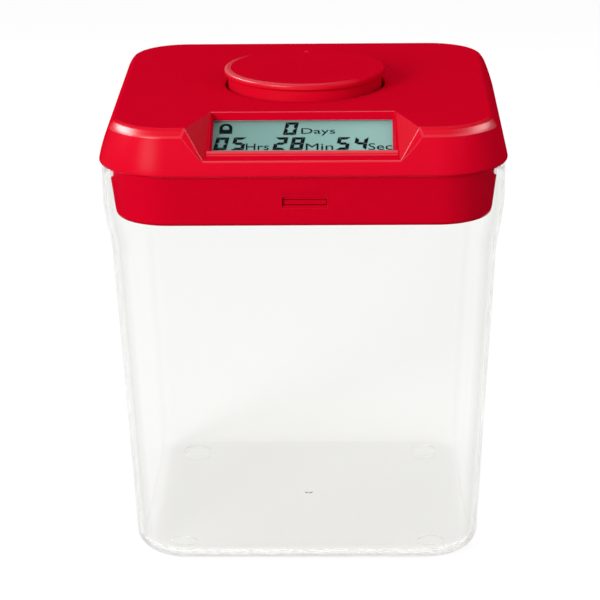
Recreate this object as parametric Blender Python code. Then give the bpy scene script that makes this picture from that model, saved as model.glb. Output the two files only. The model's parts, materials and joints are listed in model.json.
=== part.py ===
"""Time-lock container, in metres, +Z up, front towards -Y.

The origin is at the middle of the base, on the surface that the feet stand on.
The lid is shown shut and unlocked: both bolts are drawn in, and the lock gear is at zero.
"""
import math

import bmesh
import bpy
from mathutils import Matrix, Vector

# Clearance between neighbouring pieces, and how finely round shapes are faceted
GAP = 0.0003
CORNER_STEPS = 6
SHOULDER_STEPS = 5
FILLET_STEPS = 5
PLUG_FILLET_STEPS = 3
KNOB_STEPS = 48
ROUND_STEPS = 32
MIDDLE_STEPS = 20
PIN_STEPS = 12
SHARP_ANGLE = math.radians(30)

# Container: a drafted body, a shoulder and a nearly straight collar
FOOT_HEIGHT = 0.0010
FOOT_RADIUS = 0.0062
FOOT_INSET = 0.0190
BASE_HALF = 0.0710
BODY_DRAFT = 0.0523
RIM_Z = 0.1690
COLLAR_HEIGHT = 0.0150
SHOULDER_HEIGHT = 0.0220
COLLAR_HALF = 0.08095
COLLAR_DRAFT = 0.0100
CONTAINER_WALL = 0.0024
FLOOR_THICKNESS = 0.0024
BASE_FILLET = 0.0070
INNER_FILLET = 0.0060
RIM_EDGE = 0.0005
BASE_CORNER_RADIUS = 0.0220
COLLAR_CORNER_RADIUS = 0.02795
GATE_RADIUS = 0.0016
GATE_HEIGHT = 0.0006

# Lid top shell
LIP_OVERHANG = 0.0009
LIP_EDGE = 0.0007
CREASE_INSET = 0.00457
CREASE_RISE = 0.0154
TOP_INSET = 0.0021
TOP_RISE = 0.0184
SHELL_WALL = 0.0020

# Display window and what lies behind it
DISPLAY_HALF = 0.0380
WINDOW_OVERLAP = 0.0010
WINDOW_LENGTH = 0.0266
WINDOW_BEVEL = 0.0009
WINDOW_DRAFT = 0.0012
LENS_THICKNESS = 0.0006
LENS_OVERLAP = 0.0023
LCD_THICKNESS = 0.0028
LCD_OVERLAP = 0.0020
RETAINER_RIM = 0.0020
RETAINER_OVERLAP = 0.0017
RETAINER_BACK = 0.0015
RETAINER_LIP = 0.0040
EAR_REACH = 0.0045
EAR_PLACE = 0.0140
EAR_RADIUS = 0.0030

# Display notch: a slope between two flanks, each flank made of two facets
NOTCH_FRONT_INSET = 0.0022
NOTCH_RUN = 0.0303
NOTCH_DROP = 0.01225
NOTCH_BACK_MARGIN = 0.0002
NOTCH_SPREAD = 0.0010
FLANK_SPREAD = 0.0088
FLARE_SPREAD = 0.0015
NOTCH_FLARE_DEPTH = 0.0030
SLOPE_WALL = 0.0032

# Lid lower housing, the plug that drops into the collar
PLUG_DEPTH = 0.02150
PLUG_CLEARANCE = 0.0007
PLUG_TAPER = 0.0025
PLUG_WALL = 0.0020
PLUG_FLOOR = 0.0020
PLUG_FILLET = 0.0020
FLANGE_THICKNESS = 0.0020

# Lock: pinion, wheels, bolts and the ribs that catch them
LOCK_X = 0.0009
MODULE = 0.0010
ADDENDUM = 0.8
DEDENDUM = 1.15
BACKLASH = 0.0003
PRESSURE_ANGLE = math.radians(20)
RACK_TEETH = 16
LOCK_WHEEL_TEETH = 30
SMALL_WHEEL_TEETH = 10
LARGE_WHEEL_TEETH = 28
MOTOR_TEETH = 10
WHEEL_THICKNESS = 0.0030
LOCK_WHEEL_CLEARANCE = 0.0010
LARGE_WHEEL_CLEARANCE = 0.0014
BOLT_TRAVEL = 0.0027
BOLT_THICKNESS = 0.0036
TONGUE_THICKNESS = 0.0018
TONGUE_LENGTH = 0.0150
BOLT_RISE = 0.00540
SLOT_HALF = 0.0089
SLOT_HEIGHT = 0.0049
SLOT_BELOW_TONGUE = 0.00135
RACK_ARM = 0.0050
RACK_REACH = 0.0122
RACK_END = 0.0010
CATCH_HALF = 0.0090
CATCH_HEIGHT = 0.0024
CATCH_DEPTH = 0.00125
AXLE_RADIUS = 0.0015
HUB_RADIUS = 0.0030
BOSS_RADIUS = 0.0040
MOTOR_RADIUS = 0.0122
MOTOR_HEIGHT = 0.01325
MOTOR_EDGE = 0.0007
MOTOR_CLEARANCE = 0.0008
MOTOR_SHAFT_RADIUS = 0.0010
CRADLE_HEIGHT = 0.0050
CRADLE_WALL = 0.0020
RAIL_WIDTH = 0.0020
RAIL_SPACING = 0.0100
GUIDE_Y = 0.0400
GUIDE_LENGTH = 0.0120
GUIDE_SHEET = 0.0015
GUIDE_EAR = 0.0060

# Knob and its encoder
KNOB_RADIUS = 0.03356
KNOB_OVERHANG = 0.00156
KNOB_CLEARANCE = 0.0013
KNOB_RISE = 0.0070
KNOB_RIM = 0.0020
KNOB_EDGE = 0.0007
KNOB_WALL = 0.0020
KNOB_TRAVEL = 0.0020
KNOB_HUB_RADIUS = 0.0060
KNOB_MARK_INSET = 0.00526
KNOB_MARK_RADIUS = 0.0014
KNOB_MARK_DEPTH = 0.0005
WELL_DEPTH = 0.0100
WELL_FLOOR = 0.0015
SHAFT_RADIUS = 0.0030
SLEEVE_RADIUS = 0.0044
SLEEVE_RISE = 0.0020
ENCODER_HALF = 0.0065
ENCODER_HEIGHT = 0.0040
ENCODER_FLOOR = 0.0008
SWITCH_RADIUS = 0.0026
SWITCH_HEIGHT = 0.0010

# Board and ribbon
BOARD_HALF = 0.0360
BOARD_THICKNESS = 0.0016
BOARD_POST_INSET = 0.0050
BOARD_POST_RADIUS = 0.0030
CHIP_HALF = 0.0050
CHIP_HEIGHT = 0.0015
CHIP_INSET = 0.0180
RIBBON_HALF = 0.0150
RIBBON_THICKNESS = 0.0003
RIBBON_OVERLAP = 0.0020
RIBBON_BEND = 0.0060

# Screws
SCREW_RADIUS = 0.0015
SCREW_HEAD_RADIUS = 0.0028
SCREW_HEAD_HEIGHT = 0.0018
SMALL_SCREW_RADIUS = 0.0010
SMALL_HEAD_RADIUS = 0.0019
SMALL_HEAD_HEIGHT = 0.0014
COLUMN_REACH = 0.0050
COLUMN_RADIUS = 0.0048

# Batteries (AA cells) and their compartment
CELL_RADIUS = 0.00725
CELL_LENGTH = 0.0492
CELL_NUB_RADIUS = 0.00275
CELL_NUB_LENGTH = 0.0013
CELL_SPACING = 0.0157
BATTERY_INSET = 0.0245
COMPARTMENT_HALF_X = 0.0155
COMPARTMENT_HALF_Y = 0.0298
COMPARTMENT_WALL = 0.0016
COMPARTMENT_HEIGHT = 0.0172
COVER_MARGIN = 0.0036
LEDGE_THICKNESS = 0.0012
PLATE_THICKNESS = 0.0005
PLATE_HALF = 0.0050
TAIL_HALF = 0.0010
SPRING_WIRE = 0.0005
SPRING_RADIUS = 0.0051
SPRING_TIP_RADIUS = 0.0028
SPRING_TURNS = 4
SPRING_STEPS = 9
LEAD_RADIUS = 0.0006
LEAD_SPREAD = 0.0040
LEAD_BEND_SHARE = 0.4
THUMB_RADIUS = 0.0060

# Sizes, heights and places that follow from the sizes above
SHOULDER_HIGH_Z = RIM_Z - COLLAR_HEIGHT
SHOULDER_LOW_Z = SHOULDER_HIGH_Z - SHOULDER_HEIGHT
BASE_CORNER_CENTRE = BASE_HALF - BASE_CORNER_RADIUS
CORNER_CENTRE = COLLAR_HALF - COLLAR_CORNER_RADIUS
FOOT_OFFSET = BASE_HALF - FOOT_INSET
RIM_HALF = COLLAR_HALF + COLLAR_DRAFT * COLLAR_HEIGHT
LIP_HALF = RIM_HALF + LIP_OVERHANG
CREASE_HALF = LIP_HALF - CREASE_INSET
TOP_HALF = CREASE_HALF - TOP_INSET
PLUG_TOP_HALF = RIM_HALF - CONTAINER_WALL - PLUG_CLEARANCE
PLUG_BOTTOM_HALF = PLUG_TOP_HALF - PLUG_TAPER
HOUSING_SCREW_OFFSET = CORNER_CENTRE + COLUMN_REACH
WINDOW_HALF = DISPLAY_HALF - WINDOW_OVERLAP
NOTCH_BACK_HALF = WINDOW_HALF + NOTCH_BACK_MARGIN
NOTCH_FRONT_HALF = NOTCH_BACK_HALF + NOTCH_SPREAD
FLANK_TOP_HALF = NOTCH_BACK_HALF + FLANK_SPREAD
FLANK_FLARE_HALF = FLANK_TOP_HALF + FLARE_SPREAD
NOTCH_FRONT_Y = NOTCH_FRONT_INSET - LIP_HALF
NOTCH_BACK_Y = NOTCH_FRONT_Y + NOTCH_RUN
SLOPE_ANGLE = math.atan2(NOTCH_DROP, NOTCH_RUN)
EAR_OFFSET = DISPLAY_HALF + EAR_REACH
KNOB_NECK_RADIUS = KNOB_RADIUS - KNOB_OVERHANG
KNOB_WELL_RADIUS = KNOB_NECK_RADIUS + KNOB_CLEARANCE
KNOB_MARK_Y = KNOB_RADIUS - KNOB_MARK_INSET
BOARD_POST_OFFSET = BOARD_HALF - BOARD_POST_INSET
BATTERY_X = BATTERY_INSET - PLUG_BOTTOM_HALF
FLOOR_Z = FOOT_HEIGHT + FLOOR_THICKNESS
LIP_Z = RIM_Z + GAP
CREASE_Z = LIP_Z + CREASE_RISE
TOP_Z = LIP_Z + TOP_RISE
CEILING_Z = TOP_Z - SHELL_WALL
FLANGE_TOP_Z = LIP_Z + FLANGE_THICKNESS
FLANGE_HALF = LIP_HALF - SHELL_WALL - 2 * GAP
PLUG_Z = LIP_Z - PLUG_DEPTH
TRAY_Z = PLUG_Z + PLUG_FLOOR
KNOB_TOP_Z = TOP_Z + KNOB_RISE
KNOB_DISC_Z = KNOB_TOP_Z - KNOB_RIM
WELL_FLOOR_Z = TOP_Z - WELL_DEPTH
WELL_TOP_Z = WELL_FLOOR_Z + WELL_FLOOR
ENCODER_Z = WELL_FLOOR_Z - GAP - ENCODER_HEIGHT
BOARD_TOP_Z = ENCODER_Z
BOARD_Z = BOARD_TOP_Z - BOARD_THICKNESS
BOLT_Z = TRAY_Z + BOLT_RISE
BOLT_TOP_Z = BOLT_Z + BOLT_THICKNESS
BOSS_TOP_Z = BOLT_Z - 2 * GAP
LOCK_WHEEL_Z = BOLT_TOP_Z + LOCK_WHEEL_CLEARANCE
LARGE_WHEEL_Z = LOCK_WHEEL_Z + WHEEL_THICKNESS + LARGE_WHEEL_CLEARANCE
PITCH_RADIUS = MODULE * RACK_TEETH / 2
REDUCTION_X = LOCK_X + MODULE * (LOCK_WHEEL_TEETH + SMALL_WHEEL_TEETH) / 2
MOTOR_X = REDUCTION_X + MODULE * (LARGE_WHEEL_TEETH + MOTOR_TEETH) / 2
MOTOR_Z = LARGE_WHEEL_Z - MOTOR_CLEARANCE - MOTOR_HEIGHT
CELL_Z = TRAY_Z + 2 * GAP + CELL_RADIUS
COMPARTMENT_TOP_Z = TRAY_Z + COMPARTMENT_HEIGHT


# Building blocks

def add_object(name, vertices, faces):
    """Make a mesh object from points and faces and link it to the scene."""
    mesh = bpy.data.meshes.new(name)
    mesh.from_pydata([tuple(v) for v in vertices], [], faces)
    mesh.validate()
    made = bpy.data.objects.new(name, mesh)
    bpy.context.scene.collection.objects.link(made)
    return made


def loft(name, loops, closed=False):
    """Skin a row of loops with equal counts. Loops run counter-clockwise seen from +Z."""
    count = len(loops[0])
    vertices = [point for loop in loops for point in loop]
    faces = []
    pairs = len(loops) if closed else len(loops) - 1
    for level in range(pairs):
        here = level * count
        there = ((level + 1) % len(loops)) * count
        for i in range(count):
            j = (i + 1) % count
            faces.append((here + i, here + j, there + j, there + i))
    if not closed:
        last = (len(loops) - 1) * count
        faces.append(tuple(reversed(range(count))))
        faces.append(tuple(range(last, last + count)))
    return add_object(name, vertices, faces)


def rounded_square(half, corner_centre, z):
    """Square loop of one half width, its corner arcs centred at a fixed distance from the axis."""
    radius = half - corner_centre
    loop = []
    for quarter in range(4):
        turn = quarter * math.pi / 2
        middle = Vector((corner_centre, corner_centre, 0))
        middle.rotate(Matrix.Rotation(turn, 3, 'Z'))
        for step in range(CORNER_STEPS + 1):
            angle = turn + step / CORNER_STEPS * math.pi / 2
            x = middle.x + radius * math.cos(angle)
            y = middle.y + radius * math.sin(angle)
            loop.append((x, y, z))
    return loop


def circle(radius, z, centre=(0, 0), steps=ROUND_STEPS):
    """Round loop at one height."""
    angles = [2 * math.pi * i / steps for i in range(steps)]
    return [(centre[0] + radius * math.cos(a), centre[1] + radius * math.sin(a), z) for a in angles]


def turned(name, profile, centre=(0, 0), steps=ROUND_STEPS, closed=False):
    """Solid of revolution from (radius, height) points that run up the outside."""
    return loft(name, [circle(r, z, centre, steps) for r, z in profile], closed)


def rod(name, radius, low, high, centre=(0, 0), steps=PIN_STEPS):
    """Upright cylinder."""
    return turned(name, [(radius, low), (radius, high)], centre, steps)


def box(name, low, high):
    """Box between two corners."""
    (x0, y0, z0), (x1, y1, z1) = low, high
    loops = [[(x0, y0, z), (x1, y0, z), (x1, y1, z), (x0, y1, z)] for z in (z0, z1)]
    return loft(name, loops)


def plate(name, outline, low, high):
    """Flat piece of one outline, counter-clockwise in plan, between two heights."""
    return loft(name, [[(x, y, z) for x, y in outline] for z in (low, high)])


def four_corners(offset):
    """Four places in plan, the same distance out along X and Y."""
    return [(x, y) for x in (-offset, offset) for y in (-offset, offset)]


def combine(target, tool, operation='DIFFERENCE'):
    """Cut a tool out of a piece, or join it on, and discard the tool."""
    modifier = target.modifiers.new('shape', 'BOOLEAN')
    modifier.operation = operation
    modifier.solver = 'EXACT'
    modifier.object = tool
    graph = bpy.context.evaluated_depsgraph_get()
    result = bpy.data.meshes.new_from_object(target.evaluated_get(graph))
    target.modifiers.clear()
    target.data = result
    bpy.data.objects.remove(tool)
    return target


def join(target, tool):
    """Union of a piece and a tool."""
    return combine(target, tool, 'UNION')


def turned_half_way(piece):
    """Turn a piece by 180 degrees about the lock gear's axis."""
    centre = Matrix.Translation((LOCK_X, 0, 0))
    piece.data.transform(centre @ Matrix.Rotation(math.pi, 4, 'Z') @ centre.inverted())
    return piece


def set_origin(piece, point):
    """Put a piece's origin on its joint's axis without moving the piece."""
    piece.data.transform(Matrix.Translation(-Vector(point)))
    piece.location = point
    return piece


def tube(name, points, radius, sides=6):
    """Round wire along points."""
    curve = bpy.data.curves.new(name, 'CURVE')
    curve.dimensions = '3D'
    curve.bevel_depth = radius
    curve.bevel_resolution = max(0, sides // 2 - 2)
    curve.use_fill_caps = True
    spline = curve.splines.new('POLY')
    spline.points.add(len(points) - 1)
    for place, point in zip(spline.points, points):
        place.co = (*point, 1)
    made = bpy.data.objects.new(name, curve)
    bpy.context.scene.collection.objects.link(made)
    return made


def smooth_route(points, steps=5):
    """Points along a smooth curve that passes through the given ones."""
    corners = [Vector(p) for p in points]
    corners = [corners[0]] + corners + [corners[-1]]
    route = []
    for k in range(1, len(corners) - 2):
        before, start, end, after = corners[k - 1:k + 3]
        for step in range(steps):
            t = step / steps
            route.append(0.5 * (2 * start + (end - before) * t
                                + (2 * before - 5 * start + 4 * end - after) * t ** 2
                                + (3 * start - before - 3 * end + after) * t ** 3))
    route.append(corners[-1])
    return route


def bent_route(points, bend, steps=4):
    """Straight runs between points, with each corner rounded from one bend length before it to one after."""
    corners = [Vector(p) for p in points]
    route = [corners[0]]
    for before, corner, after in zip(corners, corners[1:], corners[2:]):
        start = corner + (before - corner).normalized() * bend
        end = corner + (after - corner).normalized() * bend
        for step in range(steps + 1):
            t = step / steps
            route.append(start * (1 - t) ** 2 + corner * 2 * t * (1 - t) + end * t ** 2)
    route.append(corners[-1])
    return route


def on_slope(x, along, depth):
    """Point in the display slope's own measures: along it from its back edge, and into it."""
    y = NOTCH_BACK_Y - along * math.cos(SLOPE_ANGLE) + depth * math.sin(SLOPE_ANGLE)
    z = TOP_Z - along * math.sin(SLOPE_ANGLE) - depth * math.cos(SLOPE_ANGLE)
    return (x, y, z)


def sloped_box(name, half_x, along, depth):
    """Box that lies along the display slope, centred across the lid."""
    loops = []
    for d in (depth[1], depth[0]):
        loops.append([on_slope(-half_x, along[1], d), on_slope(half_x, along[1], d),
                      on_slope(half_x, along[0], d), on_slope(-half_x, along[0], d)])
    return loft(name, loops)


def sloped_rod(name, radius, x, along, depth):
    """Cylinder that stands square to the display slope."""
    loops = []
    for d in (depth[1], depth[0]):
        middle = Vector(on_slope(x, along, d))
        side = Vector(on_slope(x, along - radius, d)) - middle
        across = Vector((radius, 0, 0))
        angles = [2 * math.pi * i / PIN_STEPS for i in range(PIN_STEPS)]
        loops.append([middle + across * math.cos(a) + side * math.sin(a) for a in angles])
    return loft(name, loops)


# Container

def wall_half(z):
    """Half width of the container's outside at one height."""
    body = BASE_HALF + BODY_DRAFT * z
    collar = COLLAR_HALF + COLLAR_DRAFT * (z - SHOULDER_HIGH_Z)
    t = min(1, max(0, (z - SHOULDER_LOW_Z) / SHOULDER_HEIGHT))
    blend = t * t * (3 - 2 * t)
    return body + (collar - body) * blend


def wall_centre(z):
    """Distance from the axis to the centre of the container's corner arcs at one height."""
    return BASE_CORNER_CENTRE + (CORNER_CENTRE - BASE_CORNER_CENTRE) * min(1, z / SHOULDER_HIGH_Z)


def fillet_loops(bottom, radius, wall):
    """Loops of the rounded edge between a floor at one height and the drafted wall."""
    loops = []
    for step in range(FILLET_STEPS + 1):
        angle = step / FILLET_STEPS * math.pi / 2
        z = bottom + radius * (1 - math.cos(angle))
        half = wall_half(z) - wall - radius * (1 - math.sin(angle))
        loops.append(rounded_square(half, wall_centre(z), z))
    return loops


def make_container():
    """Clear body: up the outside, over the rim and down the inside to the floor."""
    shoulder = [SHOULDER_LOW_Z + SHOULDER_HEIGHT * i / SHOULDER_STEPS for i in range(SHOULDER_STEPS + 1)]
    loops = fillet_loops(FOOT_HEIGHT, BASE_FILLET, 0)
    loops += [rounded_square(wall_half(z), wall_centre(z), z) for z in shoulder]
    loops.append(rounded_square(RIM_HALF, CORNER_CENTRE, RIM_Z - RIM_EDGE))
    loops.append(rounded_square(RIM_HALF - RIM_EDGE, CORNER_CENTRE, RIM_Z))
    loops.append(rounded_square(RIM_HALF - CONTAINER_WALL + RIM_EDGE, CORNER_CENTRE, RIM_Z))
    loops.append(rounded_square(RIM_HALF - CONTAINER_WALL, CORNER_CENTRE, RIM_Z - RIM_EDGE))
    loops += [rounded_square(wall_half(z) - CONTAINER_WALL, wall_centre(z), z) for z in reversed(shoulder)]
    loops += reversed(fillet_loops(FLOOR_Z, INNER_FILLET, CONTAINER_WALL))
    body = loft('container_body', loops)
    foot = [(FOOT_RADIUS - RIM_EDGE, 0), (FOOT_RADIUS, RIM_EDGE), (FOOT_RADIUS, FLOOR_Z - GAP)]
    for place in four_corners(FOOT_OFFSET):
        join(body, turned('foot', foot, place, MIDDLE_STEPS))
    join(body, rod('gate', GATE_RADIUS, FLOOR_Z - GAP, FLOOR_Z + GATE_HEIGHT))
    catch_low = BOLT_TOP_Z + GAP
    catch_high = catch_low + CATCH_HEIGHT
    inner = wall_half(catch_low) - CONTAINER_WALL
    for side in (-1, 1):
        near, far = sorted((side * (inner - CATCH_DEPTH), side * (inner + CONTAINER_WALL / 2)))
        low = (LOCK_X - CATCH_HALF, near, catch_low)
        high = (LOCK_X + CATCH_HALF, far, catch_high)
        join(body, box('catch', low, high))
    return body


# Lid shells

def slope_z(y):
    """Height of the display slope's surface."""
    return TOP_Z - (NOTCH_BACK_Y - y) * math.tan(SLOPE_ANGLE)


def flank(first, second, third):
    """Slopes of the plane x = a + b y + c z through three points of a flank."""
    one = Vector(second) - Vector(first)
    two = Vector(third) - Vector(first)
    normal = one.cross(two)
    b = -normal.y / normal.x
    c = -normal.z / normal.x
    a = first[0] - b * first[1] - c * first[2]
    return a, b, c


def notch(name, wall):
    """The space above the display slope, grown by a wall on its sides and below."""
    front_low = (NOTCH_FRONT_HALF, NOTCH_FRONT_Y, TOP_Z - NOTCH_DROP)
    top_corner = (FLANK_TOP_HALF, -TOP_HALF, TOP_Z)
    main = flank((NOTCH_BACK_HALF, NOTCH_BACK_Y, TOP_Z), top_corner, front_low)
    flare = flank(top_corner, (FLANK_FLARE_HALF, -CREASE_HALF, CREASE_Z), front_low)
    tools = []
    front = -LIP_HALF - wall
    for (a, b, c), back in ((main, NOTCH_BACK_Y + wall), (flare, -TOP_HALF + NOTCH_FLARE_DEPTH)):
        grow = wall * math.sqrt(1 + b * b + c * c)
        low = []
        high = []
        for side, y in ((-1, front), (1, front), (1, back), (-1, back)):
            for loop, z in ((low, slope_z(y) - wall / math.cos(SLOPE_ANGLE)), (high, KNOB_TOP_Z)):
                loop.append((side * (a + b * y + c * z + grow), y, z))
        tools.append(loft(name, [low, high]))
    return tools


def make_top_shell():
    """Cap with a sloping skirt, the display notch, the knob's well and its posts."""
    outer = loft('lid_top_shell', [
        rounded_square(LIP_HALF - LIP_EDGE, CORNER_CENTRE, LIP_Z),
        rounded_square(LIP_HALF, CORNER_CENTRE, LIP_Z + LIP_EDGE),
        rounded_square(CREASE_HALF, CORNER_CENTRE, CREASE_Z),
        rounded_square(TOP_HALF, CORNER_CENTRE, TOP_Z),
    ])
    inside = FLANGE_HALF + GAP
    crease_inside = CREASE_HALF - SHELL_WALL
    cavity = loft('cavity', [
        rounded_square(inside, CORNER_CENTRE, LIP_Z - SHELL_WALL),
        rounded_square(inside, CORNER_CENTRE, FLANGE_TOP_Z + GAP),
        rounded_square(crease_inside, CORNER_CENTRE, CREASE_Z - SHELL_WALL),
        rounded_square(TOP_HALF - SHELL_WALL, CORNER_CENTRE, CEILING_Z),
    ])
    for tool in notch('notch', 0):
        combine(outer, tool)
    for tool in notch('notch wall', SLOPE_WALL):
        combine(cavity, tool)
    shell = combine(outer, cavity)

    well_outside = KNOB_WELL_RADIUS + SHELL_WALL
    join(shell, rod('well', well_outside, WELL_FLOOR_Z, CEILING_Z + GAP, (0, 0), ROUND_STEPS))
    for place in four_corners(HOUSING_SCREW_OFFSET):
        join(shell, rod('post', COLUMN_RADIUS, FLANGE_TOP_Z + GAP, CEILING_Z + GAP, place))
    for place in four_corners(BOARD_POST_OFFSET):
        join(shell, rod('post', BOARD_POST_RADIUS, BOARD_TOP_Z + GAP, CEILING_Z + GAP, place))
    for x in (-EAR_OFFSET, EAR_OFFSET):
        join(shell, sloped_rod('ear post', EAR_RADIUS, x, EAR_PLACE, (SLOPE_WALL / 4, retainer_depth())))

    combine(shell, rod('knob hole', KNOB_WELL_RADIUS, WELL_TOP_Z, KNOB_TOP_Z, (0, 0), ROUND_STEPS))
    low, high = WELL_FLOOR_Z - GAP, WELL_TOP_Z + GAP
    combine(shell, rod('sleeve hole', SLEEVE_RADIUS + GAP, low, high, (0, 0), MIDDLE_STEPS))
    pilot_top = CEILING_Z - SHELL_WALL
    small_pilot = SMALL_SCREW_RADIUS + GAP
    for place in four_corners(HOUSING_SCREW_OFFSET):
        combine(shell, rod('pilot', SCREW_RADIUS + GAP, FLANGE_TOP_Z - GAP, pilot_top, place))
    for place in four_corners(BOARD_POST_OFFSET):
        combine(shell, rod('pilot', small_pilot, BOARD_TOP_Z - GAP, pilot_top, place))
    for x in (-EAR_OFFSET, EAR_OFFSET):
        depth = (SLOPE_WALL - GAP, retainer_depth() + GAP)
        combine(shell, sloped_rod('pilot', small_pilot, x, EAR_PLACE, depth))

    # The window's sides lean in, its back and front faces stand upright, and its rim is bevelled
    levels = [(2 * SLOPE_WALL, 2 * WINDOW_DRAFT), (WINDOW_BEVEL, WINDOW_BEVEL / 2), (-SLOPE_WALL, 0)]
    loops = []
    for depth, shrink in levels:
        half = WINDOW_HALF - shrink
        back = depth * math.tan(SLOPE_ANGLE)
        front = back + WINDOW_LENGTH - (WINDOW_BEVEL if depth > 0 else 0)
        loops.append([on_slope(-half, front, depth), on_slope(half, front, depth),
                      on_slope(half, back, depth), on_slope(-half, back, depth)])
    combine(shell, loft('window', loops))
    return shell


def plug_half(z):
    """Half width of the plug's outside."""
    return PLUG_BOTTOM_HALF + (PLUG_TOP_HALF - PLUG_BOTTOM_HALF) * (z - PLUG_Z) / PLUG_DEPTH


def battery_room(name, margin, low, high):
    """Upright box round the cells, with a margin on all four sides."""
    x = COMPARTMENT_HALF_X + margin
    y = COMPARTMENT_HALF_Y + margin
    return box(name, (BATTERY_X - x, -y, low), (BATTERY_X + x, y, high))


def make_lower_housing():
    """Plug tray with its flange, screw columns, bolt slots and rails, gear bosses and battery box."""
    loops = []
    for step in range(PLUG_FILLET_STEPS + 1):
        angle = step / PLUG_FILLET_STEPS * math.pi / 2
        z = PLUG_Z + PLUG_FILLET * (1 - math.cos(angle))
        loops.append(rounded_square(plug_half(z) - PLUG_FILLET * (1 - math.sin(angle)), CORNER_CENTRE, z))
    loops.append(rounded_square(PLUG_TOP_HALF, CORNER_CENTRE, LIP_Z))
    loops.append(rounded_square(FLANGE_HALF, CORNER_CENTRE, LIP_Z))
    loops.append(rounded_square(FLANGE_HALF, CORNER_CENTRE, FLANGE_TOP_Z))
    loops.append(rounded_square(PLUG_TOP_HALF - PLUG_WALL, CORNER_CENTRE, FLANGE_TOP_Z))
    loops.append(rounded_square(plug_half(TRAY_Z) - PLUG_WALL, CORNER_CENTRE, TRAY_Z))
    housing = loft('lid_lower_housing', loops)

    # What stands on the tray starts halfway into its floor
    root = TRAY_Z - PLUG_FLOOR / 2

    # Screw columns, with a pocket for each head in the underside
    pocket = PLUG_Z + GAP + SCREW_HEAD_HEIGHT + GAP
    for place in four_corners(HOUSING_SCREW_OFFSET):
        join(housing, rod('column', COLUMN_RADIUS, root, FLANGE_TOP_Z, place))
        combine(housing, rod('bore', SCREW_RADIUS + GAP, root, FLANGE_TOP_Z + GAP, place))
        combine(housing, rod('pocket', SCREW_HEAD_RADIUS + GAP, PLUG_Z - GAP, pocket, place))

    # Battery box: walls and roof over an opening that the cover closes
    wall = COMPARTMENT_WALL
    ledge = COVER_MARGIN + wall
    join(housing, battery_room('ledge', ledge, root, TRAY_Z + LEDGE_THICKNESS))
    join(housing, battery_room('battery box', wall, root, COMPARTMENT_TOP_Z))
    combine(housing, battery_room('room', 0, PLUG_Z - GAP, COMPARTMENT_TOP_Z - wall))
    combine(housing, battery_room('rebate', COVER_MARGIN, PLUG_Z - GAP, TRAY_Z))
    for x in (-CELL_SPACING / 2, CELL_SPACING / 2):
        middle = BATTERY_X + x
        low = (middle - TAIL_HALF - GAP, plate_y(-1)[0] - GAP, COMPARTMENT_TOP_Z - 2 * wall)
        high = (middle + TAIL_HALF + GAP, plate_y(-1)[1] + GAP, COMPARTMENT_TOP_Z + GAP)
        combine(housing, box('tail slot', low, high))

    # Bosses for the two gear axles, and a cradle for the motor
    for place, top in ((LOCK_X, BOSS_TOP_Z), (REDUCTION_X, LOCK_WHEEL_Z - GAP)):
        join(housing, rod('boss', BOSS_RADIUS, root, top, (place, 0), MIDDLE_STEPS))
        combine(housing, rod('bore', AXLE_RADIUS + GAP, TRAY_Z, top + GAP, (place, 0)))
    inner = MOTOR_RADIUS + GAP
    outer = inner + CRADLE_WALL
    top = MOTOR_Z + CRADLE_HEIGHT
    cradle = [(inner, root), (outer, root), (outer, top), (inner, top)]
    join(housing, turned('cradle', cradle, (MOTOR_X, 0), ROUND_STEPS, closed=True))
    join(housing, rod('motor seat', MOTOR_RADIUS / 2, root, MOTOR_Z - GAP, (MOTOR_X, 0)))

    # Slots, rails and strap bosses for the bolts
    for side in (-1, 1):
        slot_low = BOLT_TOP_Z - TONGUE_THICKNESS - SLOT_BELOW_TONGUE
        near, far = sorted((side * (PLUG_BOTTOM_HALF - 2 * PLUG_WALL), side * (PLUG_TOP_HALF + PLUG_WALL)))
        low = (LOCK_X - SLOT_HALF, near, slot_low)
        high = (LOCK_X + SLOT_HALF, far, slot_low + SLOT_HEIGHT)
        combine(housing, box('slot', low, high))
        near, far = sorted((side * (rack_back() + RAIL_WIDTH), side * (PLUG_BOTTOM_HALF - PLUG_WALL)))
        for x in (-RAIL_SPACING / 2, RAIL_SPACING / 2):
            low = (LOCK_X + x - RAIL_WIDTH / 2, near, root)
            high = (LOCK_X + x + RAIL_WIDTH / 2, far, BOLT_Z - GAP)
            join(housing, box('rail', low, high))
        for x in guide_ears():
            place = (LOCK_X - side * x, side * GUIDE_Y)
            join(housing, rod('boss', GUIDE_EAR / 2, root, BOLT_Z - 3 * GAP, place))
            combine(housing, rod('pilot', SMALL_SCREW_RADIUS + GAP, TRAY_Z, BOLT_Z, place))
    return housing


# Lock

def wheel_outline(teeth, centre, phase):
    """Outline of a spur wheel with involute-like flanks."""
    pitch = MODULE * teeth / 2
    base = pitch * math.cos(PRESSURE_ANGLE)
    half = (math.pi * MODULE / 2 - BACKLASH) / 2 / pitch

    def involute(radius):
        if radius <= base:
            return 0.0
        angle = math.acos(base / radius)
        return math.tan(angle) - angle

    flank_points = []
    for radius in (pitch - DEDENDUM * MODULE, pitch, pitch + ADDENDUM * MODULE):
        flank_points.append((radius, half + involute(pitch) - involute(radius)))
    outline = []
    for tooth in range(teeth):
        middle = phase + 2 * math.pi * tooth / teeth
        sides = [(r, middle - h) for r, h in flank_points]
        sides += [(r, middle + h) for r, h in reversed(flank_points)]
        outline += [(centre + r * math.cos(a), r * math.sin(a)) for r, a in sides]
    return outline


def rack_back():
    """Distance from the lock gear's axis at which a bolt's plate ends and its rack arm starts."""
    return RACK_REACH + RACK_END


def bolt_tip():
    """Distance of a drawn-in bolt's tip from the lock gear's axis: its travel ends just off the wall."""
    return wall_half(BOLT_TOP_Z) - CONTAINER_WALL - GAP - BOLT_TRAVEL


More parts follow.
